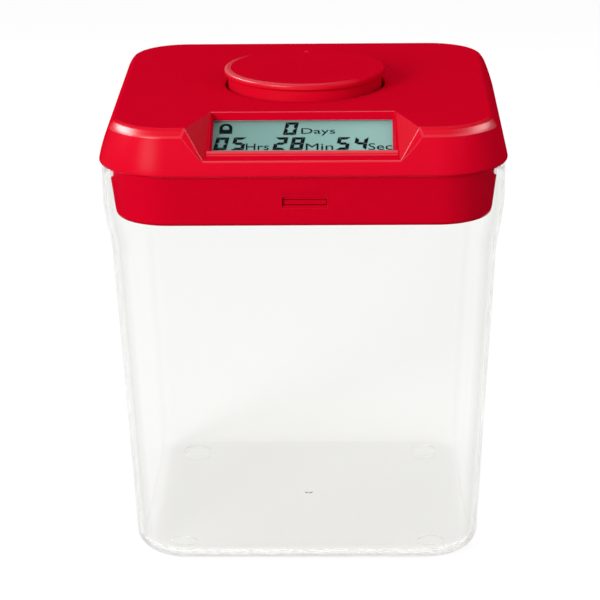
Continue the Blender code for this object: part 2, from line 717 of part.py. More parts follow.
def bolt_outlines():
    """Plan of the front bolt: its tongue, and its plate with the rack arm."""
    tongue = SLOT_HALF - GAP
    tip = -bolt_tip()
    neck = tip + TONGUE_LENGTH
    root = PITCH_RADIUS + DEDENDUM * MODULE
    outer = root + RACK_ARM
    slim = (math.pi * MODULE / 2 - BACKLASH) / 2
    lean = math.tan(PRESSURE_ANGLE)
    spacing = math.pi * MODULE
    tooth_tip = PITCH_RADIUS - ADDENDUM * MODULE
    corners = [(1, root, DEDENDUM), (1, tooth_tip, -ADDENDUM),
               (-1, tooth_tip, -ADDENDUM), (-1, root, DEDENDUM)]
    teeth = []
    place = spacing / 2
    while place + spacing < RACK_REACH:
        place += spacing
    while place > -RACK_REACH:
        for side, x, spread in corners:
            teeth.append((x, place + side * (slim + spread * MODULE * lean)))
        place -= spacing
    body = [(-tongue, neck), (outer, neck), (outer, rack_back()), (root, rack_back())]
    body += teeth
    body += [(root, -rack_back()), (-tongue, -rack_back())]
    body = [(LOCK_X + x, y) for x, y in body]
    front = [(-tongue, tip), (tongue, tip), (tongue, neck + RACK_END), (-tongue, neck + RACK_END)]
    front = [(LOCK_X + x, y) for x, y in front]
    return front, body


def make_bolt(name):
    """Sliding bolt with a thin tongue and a rack arm beside the lock pinion."""
    front, body = bolt_outlines()
    bolt = plate(name, body, BOLT_Z, BOLT_TOP_Z)
    join(bolt, plate('tongue', front, BOLT_TOP_Z - TONGUE_THICKNESS, BOLT_TOP_Z))
    return bolt


def make_gear(name, centre, wheels, low, high):
    """Stack of toothed wheels on a hub with a bore: each wheel has teeth, phase, bottom and top."""
    gear = rod(name, HUB_RADIUS, low, high, (centre, 0), MIDDLE_STEPS)
    for teeth, phase, bottom, top in wheels:
        join(gear, plate('wheel', wheel_outline(teeth, centre, phase), bottom, top))
    combine(gear, rod('bore', AXLE_RADIUS + GAP, low - GAP, high + GAP, (centre, 0)))
    return set_origin(gear, (centre, 0, low))


def make_lock_gears():
    """Lock gear, reduction gear, their axles, and the motor with its pinion."""
    top = BOARD_Z - GAP
    half_tooth = math.pi / SMALL_WHEEL_TEETH
    lock_wheels = [(RACK_TEETH, 0, BOLT_Z, BOLT_TOP_Z + 2 * GAP),
                   (LOCK_WHEEL_TEETH, 0, LOCK_WHEEL_Z, LOCK_WHEEL_Z + WHEEL_THICKNESS)]
    lock = make_gear('lock_gear', LOCK_X, lock_wheels, BOSS_TOP_Z + GAP, top)
    small_phase = math.pi + half_tooth
    reduction_wheels = [(SMALL_WHEEL_TEETH, small_phase, LOCK_WHEEL_Z, LOCK_WHEEL_Z + WHEEL_THICKNESS),
                        (LARGE_WHEEL_TEETH, 0, LARGE_WHEEL_Z, LARGE_WHEEL_Z + WHEEL_THICKNESS)]
    reduction = make_gear('reduction_gear', REDUCTION_X, reduction_wheels, LOCK_WHEEL_Z, top)
    lock_axle = rod('lock_gear_axle', AXLE_RADIUS, TRAY_Z + GAP, top, (LOCK_X, 0))
    reduction_axle = rod('reduction_gear_axle', AXLE_RADIUS, TRAY_Z + GAP, top, (REDUCTION_X, 0))

    # The motor's can has a bore for the shaft, which carries the pinion
    can_top = MOTOR_Z + MOTOR_HEIGHT
    rim = MOTOR_RADIUS - MOTOR_EDGE
    can_profile = [(rim, MOTOR_Z), (MOTOR_RADIUS, MOTOR_Z + MOTOR_EDGE),
                   (MOTOR_RADIUS, can_top - MOTOR_EDGE), (rim, can_top)]
    can = turned('lock_motor', can_profile, (MOTOR_X, 0))
    shaft_low = can_top - MOTOR_HEIGHT / 2
    combine(can, rod('bore', MOTOR_SHAFT_RADIUS + GAP, shaft_low, can_top + GAP, (MOTOR_X, 0)))
    pinion_top = LARGE_WHEEL_Z + WHEEL_THICKNESS
    shaft = rod('motor_shaft', MOTOR_SHAFT_RADIUS, shaft_low + GAP, pinion_top + GAP, (MOTOR_X, 0))
    phase = math.pi + math.pi / MOTOR_TEETH
    pinion = plate('motor_pinion', wheel_outline(MOTOR_TEETH, MOTOR_X, phase), LARGE_WHEEL_Z, pinion_top)
    bore = rod('bore', MOTOR_SHAFT_RADIUS + GAP, LARGE_WHEEL_Z - GAP, pinion_top + GAP, (MOTOR_X, 0))
    combine(pinion, bore)
    for piece in (shaft, pinion):
        set_origin(piece, (MOTOR_X, 0, LARGE_WHEEL_Z))
    return [lock, reduction, lock_axle, reduction_axle, can, shaft, pinion]


def guide_sides():
    """Inner faces of a strap's two legs, measured from the lock gear's axis."""
    return -(SLOT_HALF - GAP) - GAP, PITCH_RADIUS + DEDENDUM * MODULE + RACK_ARM + GAP


def guide_ears():
    """Screw places of a strap, measured from the lock gear's axis."""
    left, right = guide_sides()
    return left - GUIDE_SHEET - GUIDE_EAR / 2, right + GUIDE_SHEET + GUIDE_EAR / 2


def make_guide(name):
    """Strap over a bolt: two ears, two legs and a top, bent from one sheet."""
    left, right = guide_sides()
    ear_z = BOLT_Z - 2 * GAP
    ear_top = ear_z + GUIDE_SHEET
    top = BOLT_TOP_Z + GAP
    sheet = GUIDE_SHEET
    profile = [(left - sheet - GUIDE_EAR, ear_z), (left, ear_z), (left, top), (right, top), (right, ear_z),
               (right + sheet + GUIDE_EAR, ear_z), (right + sheet + GUIDE_EAR, ear_top),
               (right + sheet, ear_top), (right + sheet, top + sheet), (left - sheet, top + sheet),
               (left - sheet, ear_top), (left - sheet - GUIDE_EAR, ear_top)]
    low, high = -GUIDE_Y - GUIDE_LENGTH / 2, -GUIDE_Y + GUIDE_LENGTH / 2
    strap = loft(name, [[(LOCK_X + x, y, z) for x, z in profile] for y in (high, low)])
    for x in guide_ears():
        hole = rod('hole', SMALL_SCREW_RADIUS + GAP, ear_z - GAP, ear_top + GAP, (LOCK_X + x, -GUIDE_Y))
        combine(strap, hole)
    return strap


def small_screw(name, place, low, seat):
    """Short screw whose head sits above a seat."""
    head = SMALL_HEAD_RADIUS
    profile = [(SMALL_SCREW_RADIUS, low), (SMALL_SCREW_RADIUS, seat), (head, seat),
               (head, seat + SMALL_HEAD_HEIGHT)]
    return turned(name, profile, place, PIN_STEPS)


def make_bolts():
    """Both bolts, the straps over them and the straps' screws."""
    front = make_bolt('front_bolt')
    rear = turned_half_way(make_bolt('rear_bolt'))
    guides = [make_guide('bolt_guide_front'), turned_half_way(make_guide('bolt_guide_rear'))]
    seat = BOLT_Z - 2 * GAP + GUIDE_SHEET + GAP
    places = [(LOCK_X + side * x, -side * GUIDE_Y) for side in (-1, 1) for x in guide_ears()]
    screws = [small_screw(f'guide_screw_{number}', place, TRAY_Z + GAP, seat)
              for number, place in enumerate(places, 1)]
    return [front, rear] + guides + screws


# Knob and encoder

def make_knob():
    """Round knob: a disc on a hollow neck, with a hub that takes the encoder's shaft."""
    ceiling = KNOB_TOP_Z - KNOB_WALL - GAP
    neck_low = WELL_TOP_Z + KNOB_TRAVEL + GAP
    hub_low = sleeve_top() + KNOB_TRAVEL + GAP
    socket = SHAFT_RADIUS + GAP
    edge = KNOB_EDGE
    knob = turned('dial_knob', [
        (socket, shaft_top() + GAP), (socket, hub_low),
        (KNOB_HUB_RADIUS, hub_low), (KNOB_HUB_RADIUS, ceiling),
        (KNOB_NECK_RADIUS - KNOB_WALL, ceiling), (KNOB_NECK_RADIUS - KNOB_WALL, neck_low),
        (KNOB_NECK_RADIUS, neck_low), (KNOB_NECK_RADIUS, KNOB_DISC_Z), (KNOB_RADIUS - edge, KNOB_DISC_Z),
        (KNOB_RADIUS, KNOB_DISC_Z + edge), (KNOB_RADIUS, KNOB_TOP_Z - edge), (KNOB_RADIUS - edge, KNOB_TOP_Z),
    ], (0, 0), KNOB_STEPS)
    mark = rod('mark', KNOB_MARK_RADIUS, KNOB_TOP_Z - KNOB_MARK_DEPTH, KNOB_TOP_Z + GAP, (0, KNOB_MARK_Y))
    combine(knob, mark)
    return set_origin(knob, (0, 0, KNOB_DISC_Z))


def switch_top():
    """Height of the push switch's top."""
    return ENCODER_Z + ENCODER_FLOOR + GAP + SWITCH_HEIGHT


def sleeve_top():
    """Height of the encoder sleeve's top."""
    return WELL_TOP_Z + SLEEVE_RISE


def shaft_top():
    """Height of the encoder shaft's top, inside the knob's hub."""
    return KNOB_TOP_Z - KNOB_WALL - KNOB_MARK_DEPTH - 2 * GAP


def make_encoder():
    """Encoder under the knob: housing, turning sleeve, sliding shaft and push switch."""
    half = ENCODER_HALF
    top = ENCODER_Z + ENCODER_HEIGHT
    housing = box('encoder_housing', (-half, -half, ENCODER_Z + GAP), (half, half, top))
    floor = ENCODER_Z + ENCODER_FLOOR
    combine(housing, rod('room', SLEEVE_RADIUS + GAP, floor, top + GAP, (0, 0), MIDDLE_STEPS))
    bore = SHAFT_RADIUS + GAP
    sleeve = turned('encoder_rotor', [
        (bore, floor + GAP), (SLEEVE_RADIUS, floor + GAP),
        (SLEEVE_RADIUS, sleeve_top()), (bore, sleeve_top()),
    ], (0, 0), MIDDLE_STEPS, closed=True)
    shaft_low = switch_top() + GAP + KNOB_TRAVEL
    shaft = rod('encoder_shaft', SHAFT_RADIUS, shaft_low, shaft_top(), (0, 0), MIDDLE_STEPS)
    switch = rod('push_switch', SWITCH_RADIUS, floor + GAP, switch_top(), (0, 0), MIDDLE_STEPS)
    set_origin(sleeve, (0, 0, floor))
    set_origin(shaft, (0, 0, floor))
    return [housing, sleeve, shaft, switch]


# Boards and display

def make_main_board():
    """Circuit board under the encoder, with its screws and its chip."""
    half = BOARD_HALF
    board = box('main_board', (-half, -half, BOARD_Z), (half, half, BOARD_TOP_Z))
    screws = []
    seat = BOARD_Z - GAP
    profile = [(SMALL_HEAD_RADIUS, seat - SMALL_HEAD_HEIGHT), (SMALL_HEAD_RADIUS, seat),
               (SMALL_SCREW_RADIUS, seat), (SMALL_SCREW_RADIUS, CEILING_Z - 2 * SHELL_WALL)]
    for number, place in enumerate(four_corners(BOARD_POST_OFFSET), 1):
        hole = rod('hole', SMALL_SCREW_RADIUS + GAP, BOARD_Z - GAP, BOARD_TOP_Z + GAP, place)
        combine(board, hole)
        screws.append(turned(f'board_screw_{number}', profile, place, PIN_STEPS))
    chip_low = BOARD_TOP_Z + GAP
    near, far = half - CHIP_INSET - CHIP_HALF, half - CHIP_INSET + CHIP_HALF
    chip = box('processor_chip', (near, -far, chip_low), (far, -near, chip_low + CHIP_HEIGHT))
    return [board, chip] + screws


def lcd_depth():
    """Depth of the display's face below the slope."""
    return SLOPE_WALL + GAP + LENS_THICKNESS + GAP


def retainer_depth():
    """Depth at which the retainer's ears start, below the shell's posts."""
    return lcd_depth() - GAP


def make_display():
    """Window, display, the frame that holds it, its two screws and the ribbon to the board."""
    lens_depth = SLOPE_WALL + GAP
    lens_along = (-GAP, WINDOW_LENGTH + LENS_OVERLAP - GAP)
    lens = sloped_box('display_lens', DISPLAY_HALF, lens_along, (lens_depth, lens_depth + LENS_THICKNESS))
    face = lcd_depth()
    back = face + LCD_THICKNESS
    lcd_length = WINDOW_LENGTH + LCD_OVERLAP
    lcd = sloped_box('lcd_panel', DISPLAY_HALF, (GAP, GAP + lcd_length), (face, back))
    retainer_half = DISPLAY_HALF + GAP + RETAINER_RIM
    retainer_length = WINDOW_LENGTH + RETAINER_OVERLAP
    retainer_along = (GAP - RETAINER_RIM, retainer_length - RETAINER_RIM)
    rear = back + GAP + RETAINER_BACK
    frame = sloped_box('lcd_retainer', retainer_half, retainer_along, (face, rear))
    for x in (-1, 1):
        join(frame, sloped_rod('ear', EAR_RADIUS, x * EAR_OFFSET, EAR_PLACE, (face, face + RETAINER_BACK)))
    room = sloped_box('room', DISPLAY_HALF + GAP, (0, 2 * lcd_length), (face - GAP, back + GAP))
    combine(frame, room)
    lip = RETAINER_LIP
    window = sloped_box('window', DISPLAY_HALF - lip, (lip, retainer_length - lip), (face, rear + GAP))
    combine(frame, window)
    screws = []
    seat = face + RETAINER_BACK + GAP
    for side, x in (('left', -EAR_OFFSET), ('right', EAR_OFFSET)):
        hole = sloped_rod('hole', SMALL_SCREW_RADIUS + GAP, x, EAR_PLACE, (face - GAP, seat + GAP))
        combine(frame, hole)
        shank = (SLOPE_WALL, seat + GAP)
        screw = sloped_rod('retainer_screw_' + side, SMALL_SCREW_RADIUS, x, EAR_PLACE, shank)
        join(screw, sloped_rod('head', SMALL_HEAD_RADIUS, x, EAR_PLACE, (seat, seat + SMALL_HEAD_HEIGHT)))
        screws.append(screw)
    return [lens, lcd, frame, make_ribbon(back + GAP)] + screws


def make_ribbon(depth):
    """Flat ribbon from the back of the display down to the edge of the board."""
    start = Vector(on_slope(0, 2 * RETAINER_LIP, depth))
    inward = Vector(on_slope(0, 2 * RETAINER_LIP, depth + 1)) - start
    end = Vector((0, -BOARD_HALF + RIBBON_OVERLAP, BOARD_TOP_Z + GAP))
    bend = Vector((0, -BOARD_HALF - RIBBON_BEND, BOARD_TOP_Z + RIBBON_OVERLAP))
    route = smooth_route([start, start + inward * 2 * RIBBON_OVERLAP, bend, end], 4)
    upper = []
    lower = []
    for i, point in enumerate(route):
        ahead = route[min(i + 1, len(route) - 1)] - route[max(i - 1, 0)]
        side = Vector((0, -ahead.z, ahead.y)).normalized() * RIBBON_THICKNESS
        if i == 0:
            side = (Vector(on_slope(0, 0, 0)) - Vector(on_slope(0, 1, 0))) * RIBBON_THICKNESS
        lower.append(point)
        upper.append(point + side)
    outline = lower + list(reversed(upper))
    loops = [[(x, p.y, p.z) for p in outline] for x in (-RIBBON_HALF, RIBBON_HALF)]
    ribbon = loft('ribbon_cable', loops)
    recalculate(ribbon)
    return ribbon


def recalculate(piece):
    """Turn a closed mesh's faces outwards."""
    work = bmesh.new()
    work.from_mesh(piece.data)
    bmesh.ops.recalc_face_normals(work, faces=work.faces)
    work.to_mesh(piece.data)
    work.free()


# Batteries

def plate_y(side):
    """Near and far faces of a contact plate at one end of the battery box."""
    outer = COMPARTMENT_HALF_Y - GAP
    inner = outer - PLATE_THICKNESS
    return (inner, outer) if side > 0 else (-outer, -inner)


def make_cell(name, x, side):
    """AA cell whose nub points to one side along Y."""
    nub_end = side * (plate_y(1)[0] - GAP)
    body_end = nub_end - side * CELL_NUB_LENGTH
    back = body_end - side * CELL_LENGTH
    cell = rod(name, CELL_RADIUS, min(back, body_end), max(back, body_end), (0, 0), MIDDLE_STEPS)
    low, high = sorted((body_end - side * CELL_NUB_LENGTH, nub_end))
    join(cell, rod('nub', CELL_NUB_RADIUS, low, high))
    lay_down = Matrix(((1, 0, 0, BATTERY_X + x), (0, 0, 1, 0), (0, -1, 0, CELL_Z), (0, 0, 0, 1)))
    cell.data.transform(lay_down)
    return cell, back


def make_spring(name, x, start, end):
    """Coiled contact spring between a cell's flat end and its plate."""
    points = []
    count = SPRING_TURNS * SPRING_STEPS
    for i in range(count + 1):
        t = i / count
        angle = 2 * math.pi * t * SPRING_TURNS
        radius = SPRING_RADIUS + (SPRING_TIP_RADIUS - SPRING_RADIUS) * t
        y = start + (end - start) * t
        points.append((BATTERY_X + x + radius * math.cos(angle), y, CELL_Z + radius * math.sin(angle)))
    return tube(name, points, SPRING_WIRE, 6)


def make_batteries():
    """Two cells, their springs and contact plates, the cover and the leads to the board."""
    pieces = []
    for name, x, side in (('left', -CELL_SPACING / 2, 1), ('right', CELL_SPACING / 2, -1)):
        cell, back = make_cell('battery_' + name, x, side)
        reach = SPRING_WIRE + GAP
        face = -side * plate_y(1)[0]
        spring = make_spring('battery_spring_' + name, x, face + side * reach, back - side * reach)
        low_y, high_y = plate_y(-1)
        middle = BATTERY_X + x
        low = (middle - PLATE_HALF, low_y, CELL_Z - PLATE_HALF)
        high = (middle + PLATE_HALF, high_y, CELL_Z + PLATE_HALF)
        terminal = box('battery_terminal_' + name, low, high)
        tail_top = COMPARTMENT_TOP_Z + GAP
        low = (middle - TAIL_HALF, low_y, CELL_Z)
        join(terminal, box('tail', low, (middle + TAIL_HALF, high_y, tail_top)))
        lead_y = (low_y + high_y) / 2
        lead_low = tail_top + GAP
        lead_top = BOARD_Z - GAP
        board_x = -BOARD_HALF + LEAD_SPREAD / 2
        board_y = lead_y + (LEAD_SPREAD if x > 0 else -LEAD_SPREAD)
        turn_z = (lead_low + lead_top) / 2
        bend = LEAD_BEND_SHARE * (lead_top - lead_low)
        route = bent_route([(middle, lead_y, lead_low), (middle, lead_y, turn_z),
                            (board_x, board_y, turn_z), (board_x, board_y, lead_top)], bend)
        lead = tube('battery_lead_' + name, route, LEAD_RADIUS, 6)
        pieces += [cell, spring, terminal, lead]
    half = CELL_SPACING / 2 + PLATE_HALF
    low_y, high_y = plate_y(1)
    low = (BATTERY_X - half, low_y, CELL_Z - PLATE_HALF)
    high = (BATTERY_X + half, high_y, CELL_Z + PLATE_HALF)
    pieces.append(box('battery_link', low, high))

    # The cover lies flush in the underside and swings on its rear lower edge
    cover = battery_room('battery_cover', COVER_MARGIN - GAP, PLUG_Z, TRAY_Z - GAP)
    y = COMPARTMENT_HALF_Y + COVER_MARGIN - GAP
    notch_top = PLUG_Z + PLUG_FLOOR / 3
    combine(cover, rod('thumb notch', THUMB_RADIUS, PLUG_Z - GAP, notch_top, (BATTERY_X, -y), MIDDLE_STEPS))
    pieces.append(set_origin(cover, (BATTERY_X, y, PLUG_Z)))
    return pieces


def make_motor_leads():
    """Two leads from the motor up to the board."""
    leads = []
    for name, side in (('motor_lead_front', -1), ('motor_lead_rear', 1)):
        x = MOTOR_X + LEAD_SPREAD / 4
        y = side * (MOTOR_RADIUS - LEAD_SPREAD / 2)
        low = MOTOR_Z + MOTOR_HEIGHT + GAP
        lead_top = BOARD_Z - GAP
        board_x = BOARD_HALF - LEAD_SPREAD / 4
        board_y = side * (MOTOR_RADIUS + LEAD_SPREAD / 2)
        turn_z = lead_top - LEAD_SPREAD / 2
        route = bent_route([(x, y, low), (x, y, turn_z), (board_x, board_y, turn_z),
                            (board_x, board_y, lead_top)], LEAD_BEND_SHARE * LEAD_SPREAD)
        leads.append(tube(name, route, LEAD_RADIUS, 6))
    return leads


def make_housing_screws():
    """Four screws that join the lower housing to the top shell."""
    low = PLUG_Z + GAP
    seat = low + SCREW_HEAD_HEIGHT
    profile = [(SCREW_HEAD_RADIUS, low), (SCREW_HEAD_RADIUS, seat), (SCREW_RADIUS, seat),
               (SCREW_RADIUS, CEILING_Z - 2 * SHELL_WALL)]
    return [turned(f'housing_screw_{number}', profile, place, PIN_STEPS)
            for number, place in enumerate(four_corners(HOUSING_SCREW_OFFSET), 1)]


# Materials: one Principled surface for each piece, by colour, roughness, metallic and transmission

LID_RED = ((0.60, 0.0, 0.018), 0.35, 0, 0)
CLEAR = ((0.95, 0.96, 0.95), 0.05, 0, 1)
STEEL = ((0.60, 0.60, 0.62), 0.30, 1, 0)
BRASS = ((0.75, 0.58, 0.25), 0.35, 1, 0)
WHITE_NYLON = ((0.82, 0.81, 0.77), 0.45, 0, 0)
BLACK_PLASTIC = ((0.03, 0.03, 0.03), 0.5, 0, 0)
BOARD_GREEN = ((0.02, 0.14, 0.05), 0.5, 0, 0)
DISPLAY_GREY = ((0.35, 0.46, 0.42), 0.2, 0, 0)
CELL_DARK = ((0.06, 0.07, 0.09), 0.35, 0, 0)
RIBBON_BROWN = ((0.55, 0.30, 0.10), 0.5, 0, 0)
LEAD_BLACK = ((0.02, 0.02, 0.02), 0.5, 0, 0)
LEAD_RED = ((0.55, 0.02, 0.02), 0.5, 0, 0)

FINISHES = {
    'container_body': CLEAR, 'display_lens': CLEAR, 'lid_top_shell': LID_RED, 'lid_lower_housing': LID_RED,
    'dial_knob': LID_RED, 'front_bolt': LID_RED, 'rear_bolt': LID_RED, 'battery_cover': LID_RED,
    'lock_gear': WHITE_NYLON, 'reduction_gear': WHITE_NYLON, 'lcd_retainer': WHITE_NYLON,
    'motor_pinion': BRASS, 'encoder_rotor': BLACK_PLASTIC, 'encoder_housing': BLACK_PLASTIC,
    'push_switch': BLACK_PLASTIC, 'processor_chip': BLACK_PLASTIC, 'main_board': BOARD_GREEN,
    'lcd_panel': DISPLAY_GREY, 'battery_left': CELL_DARK, 'battery_right': CELL_DARK,
    'ribbon_cable': RIBBON_BROWN, 'battery_lead_left': LEAD_RED, 'battery_lead_right': LEAD_BLACK,
    'motor_lead_front': LEAD_RED, 'motor_lead_rear': LEAD_BLACK,
}


def give_material(piece):
    """One Principled material for each piece. Pieces not listed are steel."""
    colour, roughness, metallic, transmission = FINISHES.get(piece.name, STEEL)
    material = bpy.data.materials.new(piece.name)
    material.use_nodes = True
    shader = material.node_tree.nodes['Principled BSDF']
    shader.inputs['Base Color'].default_value = (*colour, 1)
    shader.inputs['Roughness'].default_value = roughness
    shader.inputs['Metallic'].default_value = metallic
    shader.inputs['Transmission Weight'].default_value = transmission
    piece.data.materials.clear()
    piece.data.materials.append(material)


def build():
    """Clear the scene and make every piece."""
    for old in list(bpy.data.objects):
        bpy.data.objects.remove(old)
    pieces = [make_container(), make_top_shell(), make_lower_housing(), make_knob()]
    pieces += make_housing_screws()
    pieces += make_encoder()
    pieces += make_main_board()
    pieces += make_display()
    pieces += make_lock_gears()
    pieces += make_bolts()
    pieces += make_batteries()
    pieces += make_motor_leads()
    for piece in pieces:
        give_material(piece)
        if piece.type == 'MESH':
            piece.data.shade_smooth()
            piece.data.set_sharp_from_angle(angle=SHARP_ANGLE)


build()
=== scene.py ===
# %% [markdown]
# Time-lock container. The CAD model gives the frame: every body, joint and box. This script dresses it.
# Everything is in metres, +Z up, with the display towards -Y.

# %% Load the frame
import json
import math

import bmesh
import bpy
from mathutils import Matrix, Vector
from mathutils.kdtree import KDTree

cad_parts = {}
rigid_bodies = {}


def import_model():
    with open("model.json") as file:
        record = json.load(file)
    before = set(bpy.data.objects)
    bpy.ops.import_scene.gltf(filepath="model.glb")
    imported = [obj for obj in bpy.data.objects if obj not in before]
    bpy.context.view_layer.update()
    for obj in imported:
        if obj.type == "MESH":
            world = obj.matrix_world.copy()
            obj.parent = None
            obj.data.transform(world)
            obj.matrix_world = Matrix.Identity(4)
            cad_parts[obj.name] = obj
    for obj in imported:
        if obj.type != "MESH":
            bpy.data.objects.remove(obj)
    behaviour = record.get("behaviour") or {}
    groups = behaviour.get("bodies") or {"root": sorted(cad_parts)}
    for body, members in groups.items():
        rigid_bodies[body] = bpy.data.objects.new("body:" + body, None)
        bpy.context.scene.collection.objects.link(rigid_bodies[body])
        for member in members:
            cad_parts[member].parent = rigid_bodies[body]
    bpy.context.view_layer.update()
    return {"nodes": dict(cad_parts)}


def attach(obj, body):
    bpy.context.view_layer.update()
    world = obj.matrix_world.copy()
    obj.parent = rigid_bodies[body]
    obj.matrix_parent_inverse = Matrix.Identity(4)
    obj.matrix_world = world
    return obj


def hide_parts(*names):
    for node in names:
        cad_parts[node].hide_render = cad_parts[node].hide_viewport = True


for thing in list(bpy.data.objects):
    bpy.data.objects.remove(thing)
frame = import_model()
nodes = frame["nodes"]

# %% [markdown]
# The same sizes as the CAD source, repeated here because the script reads nothing but the imported frame.
# Rounded squares are given as a half width and the place of the corner arcs' centre, so the corner
# radius grows with the half width, as it does on a drafted moulding.

# %% Sizes shared by the pieces
GAP = 0.0003
CORNER_STEPS = 18
ROUND_STEPS = 128

BASE_HALF, BODY_DRAFT = 0.0710, 0.0523
SHOULDER_LOW_Z, SHOULDER_HIGH_Z = 0.132, 0.154
COLLAR_HALF, COLLAR_DRAFT = 0.08095, 0.0100
RIM_Z, RIM_HALF = 0.1690, 0.0811
CONTAINER_WALL, FLOOR_Z = 0.0024, 0.0034
BASE_CORNER, CORNER = 0.0490, 0.0530

LIP_Z, LIP_HALF = 0.1693, 0.0820
CREASE_Z, CREASE_HALF = 0.1847, 0.07743
TOP_Z, TOP_HALF = 0.1877, 0.07533
SHELL_WALL = 0.0020
NOTCH_BACK_Y, NOTCH_FRONT_Y, NOTCH_DROP = -0.0495, -0.0798, 0.01225
SLOPE = math.atan2(NOTCH_DROP, NOTCH_BACK_Y - NOTCH_FRONT_Y)
SLOPE_WALL = 0.0032
WINDOW_LENGTH = 0.0254

PLUG_Z, PLUG_TOP, PLUG_BOTTOM = 0.1478, 0.0782, 0.0755
TRAY_Z = PLUG_Z + 0.0020
FLANGE_HALF, FLANGE_TOP_Z = 0.0794, 0.1713
BOLT_TOP_Z = 0.1588
LOCK_X = 0.0009
KNOB_TOP_Z, KNOB_DISC_Z = 0.1947, 0.1922
WELL_FLOOR_Z, WELL_TOP_Z, WELL_RADIUS = 0.1777, 0.1792, 0.0333
KNOB_RADIUS, DIMPLE_Y = 0.03356, 0.0283
COLUMN_OFFSET, COLUMN_RADIUS, SCREW_BORE, SLOT_HALF = 0.058, 0.0048, 0.0018, 0.0089

# %% [markdown]
# A few small helpers make nearly every mesh. A loft skins a stack of loops, and with loops of rounded
# squares it gives the container and the lid, while with circles it gives everything that is turned.
# Booleans cut the notch, the window and the slots. They are applied at once, so no modifier is left.

# %% Mesh helpers
def link_object(name, data):
    """Link a new object that shows a mesh, a text, a lamp or a camera."""
    made = bpy.data.objects.new(name, data)
    bpy.context.scene.collection.objects.link(made)
    return made


def add_mesh(name, vertices, faces):
    """New mesh object made of points and faces."""
    mesh = bpy.data.meshes.new(name)
    mesh.from_pydata([tuple(v) for v in vertices], [], faces)
    mesh.validate()
    return link_object(name, mesh)


def loft(name, loops, closed=False):
    """Skin a row of loops with equal counts, counter-clockwise seen from above."""
    count = len(loops[0])
    vertices = [point for loop in loops for point in loop]
    faces = []
    for level in range(len(loops) if closed else len(loops) - 1):
        here, there = level * count, ((level + 1) % len(loops)) * count
        for i in range(count):
            j = (i + 1) % count
            faces.append((here + i, here + j, there + j, there + i))
    if not closed:
        last = (len(loops) - 1) * count
        faces.append(tuple(reversed(range(count))))
        faces.append(tuple(range(last, last + count)))
    return add_mesh(name, vertices, faces)


def rounded_square(half, centre, z):
    """Square loop whose corner arcs are centred at one distance from the axis."""
    loop = []
    for quarter in range(4):
        turn = quarter * math.pi / 2
        middle = Matrix.Rotation(turn, 3, "Z") @ Vector((centre, centre, 0))
        for step in range(CORNER_STEPS + 1):
            angle = turn + step / CORNER_STEPS * math.pi / 2
            x = middle.x + (half - centre) * math.cos(angle)
            y = middle.y + (half - centre) * math.sin(angle)
            loop.append((x, y, z))
    return loop


def turned(name, profile, place=(0, 0), steps=ROUND_STEPS, closed=False):
    """Solid of revolution from radius and height pairs that run up the outside."""
    loops = []
    for radius, z in profile:
        angles = [2 * math.pi * i / steps for i in range(steps)]
        loops.append([(place[0] + radius * math.cos(a), place[1] + radius * math.sin(a), z) for a in angles])
    return loft(name, loops, closed)


def rod(name, radius, low, high, place=(0, 0), steps=32):
    """Plain round rod between two heights."""
    return turned(name, [(radius, low), (radius, high)], place, steps)


def bottom_round(bottom, radius, half_at, centre_at=lambda z: CORNER, steps=10):
    """Loops of the rounded lowest edge of a wall whose half width is half_at(z)."""
    loops = []
    for step in range(steps + 1):
        angle = step / steps * math.pi / 2
        z = bottom + radius * (1 - math.cos(angle))
        loops.append(rounded_square(half_at(z) - radius * (1 - math.sin(angle)), centre_at(z), z))
    return loops


def four_places(offset):
    """The places at one distance from both axes."""
    return [(x, y) for x in (-offset, offset) for y in (-offset, offset)]


def portion(value, start, end):
    """How far a value lies from start to end, held between 0 and 1."""
    return min(1, max(0, (value - start) / (end - start)))


def block(name, low, high):
    """Box between two corners."""
    (x0, y0, z0), (x1, y1, z1) = low, high
    return loft(name, [[(x0, y0, z), (x1, y0, z), (x1, y1, z), (x0, y1, z)] for z in (z0, z1)])


def apply_modifiers(piece):
    """Replace the mesh by what its modifiers make of it."""
    graph = bpy.context.evaluated_depsgraph_get()
    result = bpy.data.meshes.new_from_object(piece.evaluated_get(graph), preserve_all_data_layers=True,
                                             depsgraph=graph)
    piece.modifiers.clear()
    old, piece.data = piece.data, result
    bpy.data.meshes.remove(old)


def combine(target, tool, operation="DIFFERENCE"):
    """Cut a tool away or join it on, then discard the tool."""
    modifier = target.modifiers.new("shape", "BOOLEAN")
    modifier.operation, modifier.solver, modifier.object = operation, "EXACT", tool
    apply_modifiers(target)
    bpy.data.objects.remove(tool)

# %% [markdown]
# Real edges catch the light because they are rounded. After the booleans, coplanar faces are merged,
# then a bevel runs along the edges that show, each with its own width. Widths go through the bevel
# weight of each edge, so one modifier rounds a soft skirt crease and a crisp window rim together.
# Every face then keeps a number, its gloss, which the polished finish reads, because a mould is polished
# only here and there. Normals are weighed by face area, so that large faces stay flat up to their edges.

# %% Rounding the edges that show
SHARP = math.radians(30)


def flat_inner_edges(work, limit=math.radians(0.4)):
    """Edges inside flat regions. A region with a hole keeps its edges, as a face can't have a hole."""
    seen, inner = set(), []
    for start in work.faces:
        if start in seen:
            continue
        region, queue = {start}, [start]
        while queue:
            for edge in queue.pop().edges:
                for other in edge.link_faces:
                    if other not in region and other.normal.angle(start.normal, 1) < limit:
                        region.add(other)
                        queue.append(other)
        seen |= region
        edges = {edge for face in region for edge in face.edges}
        corners = {vert for face in region for vert in face.verts}
        if len(corners) - len(edges) + len(region) == 1:
            inner += [e for e in edges if len(e.link_faces) == 2 and set(e.link_faces) <= region]
    return inner


